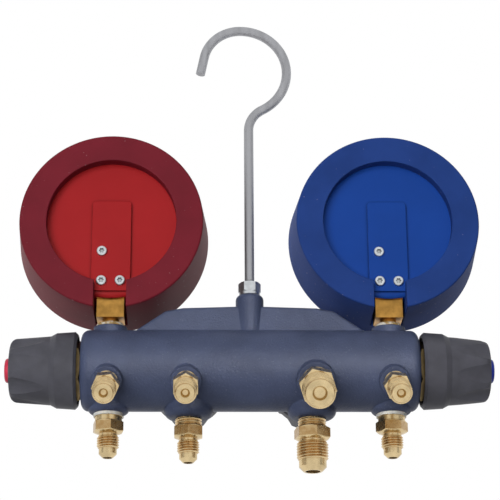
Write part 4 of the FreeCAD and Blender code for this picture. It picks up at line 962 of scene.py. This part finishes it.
def sweep_tree():
    """Geometry Nodes: a round wire along a path of edges."""
    tree, given, result = tree_with_inputs("Wire along a path", [
        ("Radius", "NodeSocketFloat"), ("Sides", "NodeSocketInt"), ("Material", "NodeSocketMaterial")])
    path = tree.nodes.new("GeometryNodeMeshToCurve")
    ring = tree.nodes.new("GeometryNodeCurvePrimitiveCircle")
    sweep = tree.nodes.new("GeometryNodeCurveToMesh")
    sweep.inputs["Fill Caps"].default_value = True
    link = tree.links.new
    link(given["Geometry"], path.inputs["Mesh"])
    link(given["Sides"], ring.inputs["Resolution"])
    link(given["Radius"], ring.inputs["Radius"])
    link(path.outputs["Curve"], sweep.inputs["Curve"])
    link(ring.outputs["Curve"], sweep.inputs["Profile Curve"])
    return end_tree(tree, sweep.outputs["Mesh"], given["Material"], result)


def hook_path(sizes, steps=40):
    """Points along the middle of the hook's wire, from the thread to the tip.

    The wide bend's inner face hangs from the origin, and the small bend joins stem and wide bend smoothly.
    """
    wide, off, rise = sizes.bend_radius, sizes.bend_offset, sizes.bend_rise
    centre = -math.sqrt((wide - sizes.wire_radius) ** 2 - off ** 2)
    small = (rise ** 2 + off ** 2 - wide ** 2) / 2 / (wide - off)
    toward = math.atan2(rise, off + small)
    arcs = [
        (-small, centre - rise, small, 0, toward),
        (off, centre, wide, math.pi + toward, math.pi / 2),
        (off, centre + wide - sizes.tip_radius, sizes.tip_radius, math.pi / 2, math.pi / 2 - sizes.tip_turn),
    ]
    points = [(0, 0, AXIS_LEVEL + sizes.thread_top - sizes.pitch)]
    for i, (x, z, radius, start, end) in enumerate(arcs):
        # An arc after the first leaves out its first point, where the one before it ends
        for step in range(min(i, 1), steps + 1):
            turn = start + (end - start) * step / steps
            points.append((x + radius * math.cos(turn), 0, z + radius * math.sin(turn)))
    x, _, z = points[-1]
    points.append((x + sizes.tip_length * math.cos(sizes.tip_turn), 0,
                   z - sizes.tip_length * math.sin(sizes.tip_turn)))
    return points


class MakeHook(bpy.types.Operator):
    """Sweep the hook's wire along its bends and cut the thread of its foot"""

    bl_idname = "manifold.hook"
    bl_label = "Hook"

    def execute(self, context):
        sizes = context.scene.manifold_hook
        points = hook_path(sizes)
        line = bpy.data.meshes.new("hook_line")
        line.from_pydata(points, [(i, i + 1) for i in range(len(points) - 1)], [])
        wire = grow("hook_sweep", sweep_tree(), line, {
            "Radius": sizes.wire_radius, "Sides": 32, "Material": MATERIALS["wire"]})
        root = sizes.foot_radius - THREAD_DEPTH * sizes.pitch
        height = sizes.thread_top - sizes.foot_low
        rows = [(0, HAIR), (0, root), *thread_rows(0, height, root, sizes.foot_radius, sizes.pitch),
                (height, HAIR)]
        mesh = bmesh.new()
        lathe(mesh, rows, 48, Matrix.Translation((0, 0, AXIS_LEVEL + sizes.foot_low)))
        mesh.from_mesh(wire.data)
        bpy.data.objects.remove(wire)
        piece = finish_mesh("hook_wire", mesh, MATERIALS["wire"])
        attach(piece, "manifold")
        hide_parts("hook")
        return {"FINISHED"}


class MakeSpringWasher(bpy.types.Operator):
    """Make the split spring washer under the hook's nut"""

    bl_idname = "manifold.spring_washer"
    bl_label = "Spring washer"

    def execute(self, context):
        sizes = context.scene.manifold_washer
        low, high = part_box("hook_washer")
        outer = (high.x - low.x) / 2
        spare = high.z - low.z - sizes.thickness
        profile = ((sizes.bore_radius, 0), (outer, 0), (outer, sizes.thickness),
                   (sizes.bore_radius, sizes.thickness))
        steps, mesh, rings = 96, bmesh.new(), []
        for step in range(steps + 1):
            share = step / steps
            turn = sizes.gap / 2 + share * (2 * math.pi - sizes.gap) - math.pi / 2
            base = low.z + share * spare
            rings.append([mesh.verts.new((reach * math.cos(turn), reach * math.sin(turn), base + rise))
                          for reach, rise in profile])
        bar(mesh, rings)
        bmesh.ops.recalc_face_normals(mesh, faces=mesh.faces)
        piece = finish_mesh("spring_washer", mesh, MATERIALS["zinc"])
        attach(piece, "manifold")
        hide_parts("hook_washer")
        return {"FINISHED"}


def marks_tree():
    """Geometry Nodes: thin raised marks set round an arc on the dial's face."""
    tree, given, result = tree_with_inputs("Scale marks", [
        ("Marks", "NodeSocketInt"), ("First Angle", "NodeSocketFloat"), ("Step Angle", "NodeSocketFloat"),
        ("Middle Radius", "NodeSocketFloat"), ("Size", "NodeSocketVector"), ("Centre", "NodeSocketVector"),
        ("Material", "NodeSocketMaterial")])
    link, new = tree.links.new, tree.nodes.new

    def maths(operation, *values):
        item = new("ShaderNodeMath")
        item.operation = operation
        for socket, value in zip(item.inputs, values):
            if isinstance(value, (int, float)):
                socket.default_value = value
            else:
                link(value, socket)
        return item.outputs[0]

    points = new("GeometryNodePoints")
    link(given["Marks"], points.inputs["Count"])
    turned = maths("MULTIPLY", new("GeometryNodeInputIndex").outputs["Index"], given["Step Angle"])
    turn = maths("SUBTRACT", given["First Angle"], turned)
    spot = new("ShaderNodeCombineXYZ")
    link(maths("MULTIPLY", maths("COSINE", turn), given["Middle Radius"]), spot.inputs["X"])
    link(maths("MULTIPLY", maths("SINE", turn), given["Middle Radius"]), spot.inputs["Z"])
    shift = new("ShaderNodeVectorMath")
    link(spot.outputs["Vector"], shift.inputs[0])
    link(given["Centre"], shift.inputs[1])
    move = new("GeometryNodeSetPosition")
    link(points.outputs["Points"], move.inputs["Geometry"])
    link(shift.outputs["Vector"], move.inputs["Position"])
    way = new("ShaderNodeCombineXYZ")
    link(maths("MULTIPLY", turn, -1.0), way.inputs["Y"])
    facing = new("FunctionNodeEulerToRotation")
    link(way.outputs["Vector"], facing.inputs["Euler"])
    mark = new("GeometryNodeMeshCube")
    link(given["Size"], mark.inputs["Size"])
    place = new("GeometryNodeInstanceOnPoints")
    link(move.outputs["Geometry"], place.inputs["Points"])
    link(mark.outputs["Mesh"], place.inputs["Instance"])
    link(facing.outputs["Rotation"], place.inputs["Rotation"])
    return end_tree(tree, place.outputs["Instances"], given["Material"], result)


def letters(mesh, words, size, spot, thickness):
    """Add flat printed words facing -Y, centred on a spot."""
    curve = bpy.data.curves.new("letters", "FONT")
    curve.body = words
    curve.size = size
    curve.align_x, curve.align_y = "CENTER", "CENTER"
    curve.extrude = thickness / 2
    holder = bpy.data.objects.new("letters", curve)
    bpy.context.scene.collection.objects.link(holder)
    graph = bpy.context.evaluated_depsgraph_get()
    data = bpy.data.meshes.new_from_object(holder.evaluated_get(graph), depsgraph=graph)
    data.transform(across(90, spot))
    mesh.from_mesh(data)
    bpy.data.objects.remove(holder)
    bpy.data.meshes.remove(data)


def arc_band(mesh, centre, radius, width, thickness, first, sweep, steps=96):
    """Add a flat band round an arc on the dial's face."""
    inner, outer = radius - width / 2, radius + width / 2
    rings = []
    for step in range(steps + 1):
        turn = first - sweep * step / steps
        rings.append([mesh.verts.new(centre + Vector((reach * math.cos(turn), rise, reach * math.sin(turn))))
                      for reach, rise in ((inner, 0), (outer, 0), (outer, -thickness), (inner, -thickness))])
    bar(mesh, rings)


# Outer scale in bar and inner scale in psi: full scale, numbered step and marks between

SCALES = {
    "high": ((35, 5, 1), (500, 100, 20)),
    "low": ((10, 1, 0.2), (140, 20, 10)),
}
PSI_PER_BAR = 14.5


def print_marks(sizes, tree, side, centre, inner_sweep):
    """Set the marks of both scales round a dial."""
    outer, inner = SCALES[side]
    long = (sizes.outer_radius, sizes.major_length, sizes.major_width)
    short = (sizes.outer_radius, sizes.minor_length, sizes.minor_width)
    small = (sizes.inner_radius, sizes.inner_length, sizes.minor_width)
    for label, full, step, sweep, (radius, size, width) in (
            ("long", outer[0], outer[1], sizes.sweep, long),
            ("short", outer[0], outer[2], sizes.sweep, short),
            ("inner", inner[0], inner[2], inner_sweep, small)):
        count = round(full / step)
        piece = grow(f"marks_{label}_{side}", tree, bpy.data.meshes.new("none"), {
            "Marks": count + 1, "First Angle": sizes.first_angle, "Step Angle": sweep / count,
            "Middle Radius": radius - size / 2, "Size": (size, sizes.print_height, width),
            "Centre": centre, "Material": MATERIALS["ink"]})
        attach(piece, "manifold")


def print_numbers(sizes, side, centre, inner_sweep):
    """Print the numbers of both scales and the names of their units."""
    outer, inner = SCALES[side]
    mesh = bmesh.new()
    for (full, numbered, _), radius, size, sweep in (
            (outer, sizes.number_radius, sizes.number_size, sizes.sweep),
            (inner, sizes.inner_number_radius, sizes.inner_number_size, inner_sweep)):
        for i in range(round(full / numbered) + 1):
            turn = sizes.first_angle - sweep * i * numbered / full
            spot = centre + radius * Vector((math.cos(turn), 0, math.sin(turn)))
            letters(mesh, str(i * numbered), size, spot, sizes.print_height)
    for unit in ("bar", "psi"):
        spot = centre - Vector((0, 0, getattr(sizes, f"{unit}_drop")))
        letters(mesh, unit, getattr(sizes, f"{unit}_size"), spot, sizes.print_height)
    piece = finish_mesh(f"numbers_{side}", mesh, MATERIALS["ink"])
    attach(piece, "manifold")


def print_band(sizes, side, face):
    """Print the coloured band between the scales."""
    mesh = bmesh.new()
    arc_band(mesh, face, sizes.band_radius, sizes.band_width, sizes.print_height,
             sizes.first_angle, sizes.sweep)
    piece = finish_mesh(f"band_{side}", mesh, MATERIALS[f"ink_{HUES[side]}"])
    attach(piece, "manifold")


class PrintDials(bpy.types.Operator):
    """Print the two scales, their numbers and the coloured band on each dial"""

    bl_idname = "manifold.dial_prints"
    bl_label = "Dial prints"

    def execute(self, context):
        sizes = context.scene.manifold_dials
        tree = marks_tree()
        for side in GAUGES:
            low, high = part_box(f"dial_{side}")
            face = Vector(((low.x + high.x) / 2, low.y, (low.z + high.z) / 2))
            centre = face - Vector((0, sizes.print_height / 2, 0))
            (bar_full, _, _), (psi_full, _, _) = SCALES[side]
            inner_sweep = sizes.sweep * psi_full / (bar_full * PSI_PER_BAR)
            print_marks(sizes, tree, side, centre, inner_sweep)
            print_numbers(sizes, side, centre, inner_sweep)
            print_band(sizes, side, face)
        return {"FINISHED"}


def glow_where_seen(tree, target, level, seen):
    """A level of light, changed to another where the camera, a reflection or clear glass sees it."""
    path = tree.nodes.new("ShaderNodeLightPath")
    sight = path.outputs["Is Camera Ray"]
    for ray in ("Is Glossy Ray", "Is Transmission Ray"):
        either = tree.nodes.new("ShaderNodeMath")
        either.operation = "MAXIMUM"
        tree.links.new(sight, either.inputs[0])
        tree.links.new(path.outputs[ray], either.inputs[1])
        sight = either.outputs[0]
    span = tree.nodes.new("ShaderNodeMapRange")
    span.inputs["To Min"].default_value = level
    span.inputs["To Max"].default_value = seen
    tree.links.new(sight, span.inputs["Value"])
    tree.links.new(span.outputs["Result"], target)


def studio_sheet(name, width, height, placing, material):
    """A flat sheet with four corners."""
    mesh = bmesh.new()
    mesh.faces.new([mesh.verts.new(placing @ Vector((x * width / 2, y * height / 2, 0)))
                    for x, y in ((-1, -1), (1, -1), (1, 1), (-1, 1))])
    return finish_mesh(name, mesh, material)


def studio_paint(name, grey, scale, unevenness, roughness, glow):
    """Matt paint, a little uneven, with light added where it is seen."""
    finish = Finish(name, (grey, grey, grey), roughness)
    finish.tint(finish.grain(scale, 2), 1 - unevenness, 1 + unevenness)
    finish.shader.inputs["Emission Color"].default_value = (1, 1, 1, 1)
    glow_where_seen(finish.tree, finish.shader.inputs["Emission Strength"], 0, glow)
    return finish.material


def lay_floor(studio):
    """The plain pale floor, far below the object."""
    material = studio_paint("floor", grey=0.86, scale=3, unevenness=0.01, roughness=0.8,
                            glow=studio.floor_glow)
    level = Matrix.Translation((0, 0, CAD_BOX[0].z - studio.floor_drop))
    floor = studio_sheet("floor", studio.floor_size, studio.floor_size, level, material)
    floor.visible_glossy = False
    return floor


def stand_cards(studio, middle):
    """Two dark cards beside the object, seen in reflections only."""
    material = studio_paint("dark card", grey=0.02, scale=2, unevenness=0.1, roughness=0.9,
                            glow=studio.card_glow)
    cards = []
    for name, side in (("left", 1), ("right", -1)):
        way = Vector((side * studio.card_aside, studio.card_behind, 0))
        placing = Matrix.Translation(middle + way) @ (-way).to_track_quat("Z", "Y").to_matrix().to_4x4()
        card = studio_sheet(f"card_{name}", studio.card_width, studio.card_height, placing, material)
        card.visible_camera = card.visible_diffuse = card.visible_transmission = card.visible_shadow = False
        cards.append(card)
    return cards


def place_camera(scene, studio, middle):
    """The camera, looking at the barrel's middle and moved up across its view."""
    azimuth, elevation = studio.azimuth, studio.elevation
    back = Vector((math.sin(azimuth) * math.cos(elevation), -math.cos(azimuth) * math.cos(elevation),
                   math.sin(elevation)))
    turn = (-back).to_track_quat("-Z", "Y") @ Quaternion((0, 0, 1), studio.roll)
    data = bpy.data.cameras.new("camera")
    data.lens, data.sensor_width = studio.lens, 36.0
    data.clip_start, data.clip_end = 0.01, 50
    camera = bpy.data.objects.new("camera", data)
    camera.rotation_mode = "QUATERNION"
    camera.rotation_quaternion = turn
    camera.location = middle + back * studio.distance + turn @ Vector((0, studio.lift, 0))
    scene.collection.objects.link(camera)
    scene.camera = camera


def whiten_surroundings(scene, studio):
    """White all round for the eye, and a low plain level as light."""
    world = bpy.data.worlds.new("studio")
    world.use_nodes = True
    scene.world = world
    sky = world.node_tree.nodes["Background"]
    sky.inputs["Color"].default_value = (1, 1, 1, 1)
    glow_where_seen(world.node_tree, sky.inputs["Strength"], studio.world_strength, 1.0)


# Each lamp's width and its place

LAMPS = {
    "key": (1.8, (0.65, 1.90, -0.10)),
    "top": (2.0, (0.2, 0.3, 1.9)),
    "front": (2.2, (0.5, -1.9, 0.6)),
    "shine": (1.2, (-0.35, 1.9, 0.14)),
}


def hang_lamps(scene, studio, target):
    """Soft lamps that no reflection shows, but for the one that shines on the casting alone."""
    for name, (width, spot) in LAMPS.items():
        data = bpy.data.lights.new(name, "AREA")
        data.energy = getattr(studio, f"{name}_power")
        data.size = width
        data.spread = math.radians(90)
        lamp = bpy.data.objects.new(name, data)
        lamp.location = spot
        lamp.rotation_euler = (target - lamp.location).to_track_quat("-Z", "Y").to_euler()
        lamp.visible_camera = False
        lamp.visible_glossy = name == "shine"
        lamp.visible_diffuse = name != "shine"
        scene.collection.objects.link(lamp)
    painted = bpy.data.collections.new("painted")
    painted.objects.link(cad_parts["manifold_body"])
    bpy.data.objects["shine"].light_linking.receiver_collection = painted


class SetUpStudio(bpy.types.Operator):
    """Set up the camera, the pale floor, the white surroundings and the soft lamps"""

    bl_idname = "manifold.studio"
    bl_label = "Studio"

    def execute(self, context):
        scene, studio = context.scene, context.scene.manifold_studio
        middle = Vector((0, 0, AXIS_LEVEL))
        place_camera(scene, studio, middle)
        lay_floor(studio)
        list(stand_cards(studio, middle))
        whiten_surroundings(scene, studio)
        hang_lamps(scene, studio, middle + Vector((0, 0, studio.aim_rise)))
        scene.view_settings.view_transform = "Standard"
        return {"FINISHED"}


STEPS = (SetUpStudio, ApplyFinishes, MakeFlarePorts, MakeParkingPosts, MakeSeals, MakeCaseScrews,
         MakeHook, MakeSpringWasher, PrintDials)

GROUPS = {
    "manifold_quarter_flare": QuarterFlareSizes,
    "manifold_wide_flare": WideFlareSizes,
    "manifold_flare": FlareSettings,
    "manifold_posts": PostSizes,
    "manifold_screws": ScrewSizes,
    "manifold_hook": HookSizes,
    "manifold_washer": WasherSizes,
    "manifold_seals": SealSizes,
    "manifold_dials": DialSizes,
    "manifold_colours": FinishColours,
    "manifold_studio": StudioSettings,
}


class ManifoldPanel(bpy.types.Panel):
    """Lists the pieces and the studio"""

    bl_idname = "VIEW3D_PT_manifold"
    bl_label = "Charging manifold"
    bl_space_type = "VIEW_3D"
    bl_region_type = "UI"
    bl_category = "Manifold"

    def draw(self, context):
        for step in STEPS:
            self.layout.operator(step.bl_idname)
        for name, group in GROUPS.items():
            box = self.layout.box()
            box.label(text=group.__doc__)
            for item in group.__annotations__:
                box.prop(getattr(context.scene, name), item)


CLASSES = (*GROUPS.values(), *STEPS, ManifoldPanel)


def register():
    for kind in CLASSES:
        bpy.utils.register_class(kind)
    for name, group in GROUPS.items():
        setattr(bpy.types.Scene, name, bpy.props.PointerProperty(type=group))


def unregister():
    for name in GROUPS:
        delattr(bpy.types.Scene, name)
    for kind in reversed(CLASSES):
        bpy.utils.unregister_class(kind)


def main():
    register()
    bpy.ops.manifold.studio()
    bpy.ops.manifold.finishes()
    bpy.ops.manifold.flare_ports()
    bpy.ops.manifold.parking_posts()
    bpy.ops.manifold.seals()
    bpy.ops.manifold.case_screws()
    bpy.ops.manifold.hook()
    bpy.ops.manifold.spring_washer()
    bpy.ops.manifold.dial_prints()


if __name__ == "__main__":
    main()
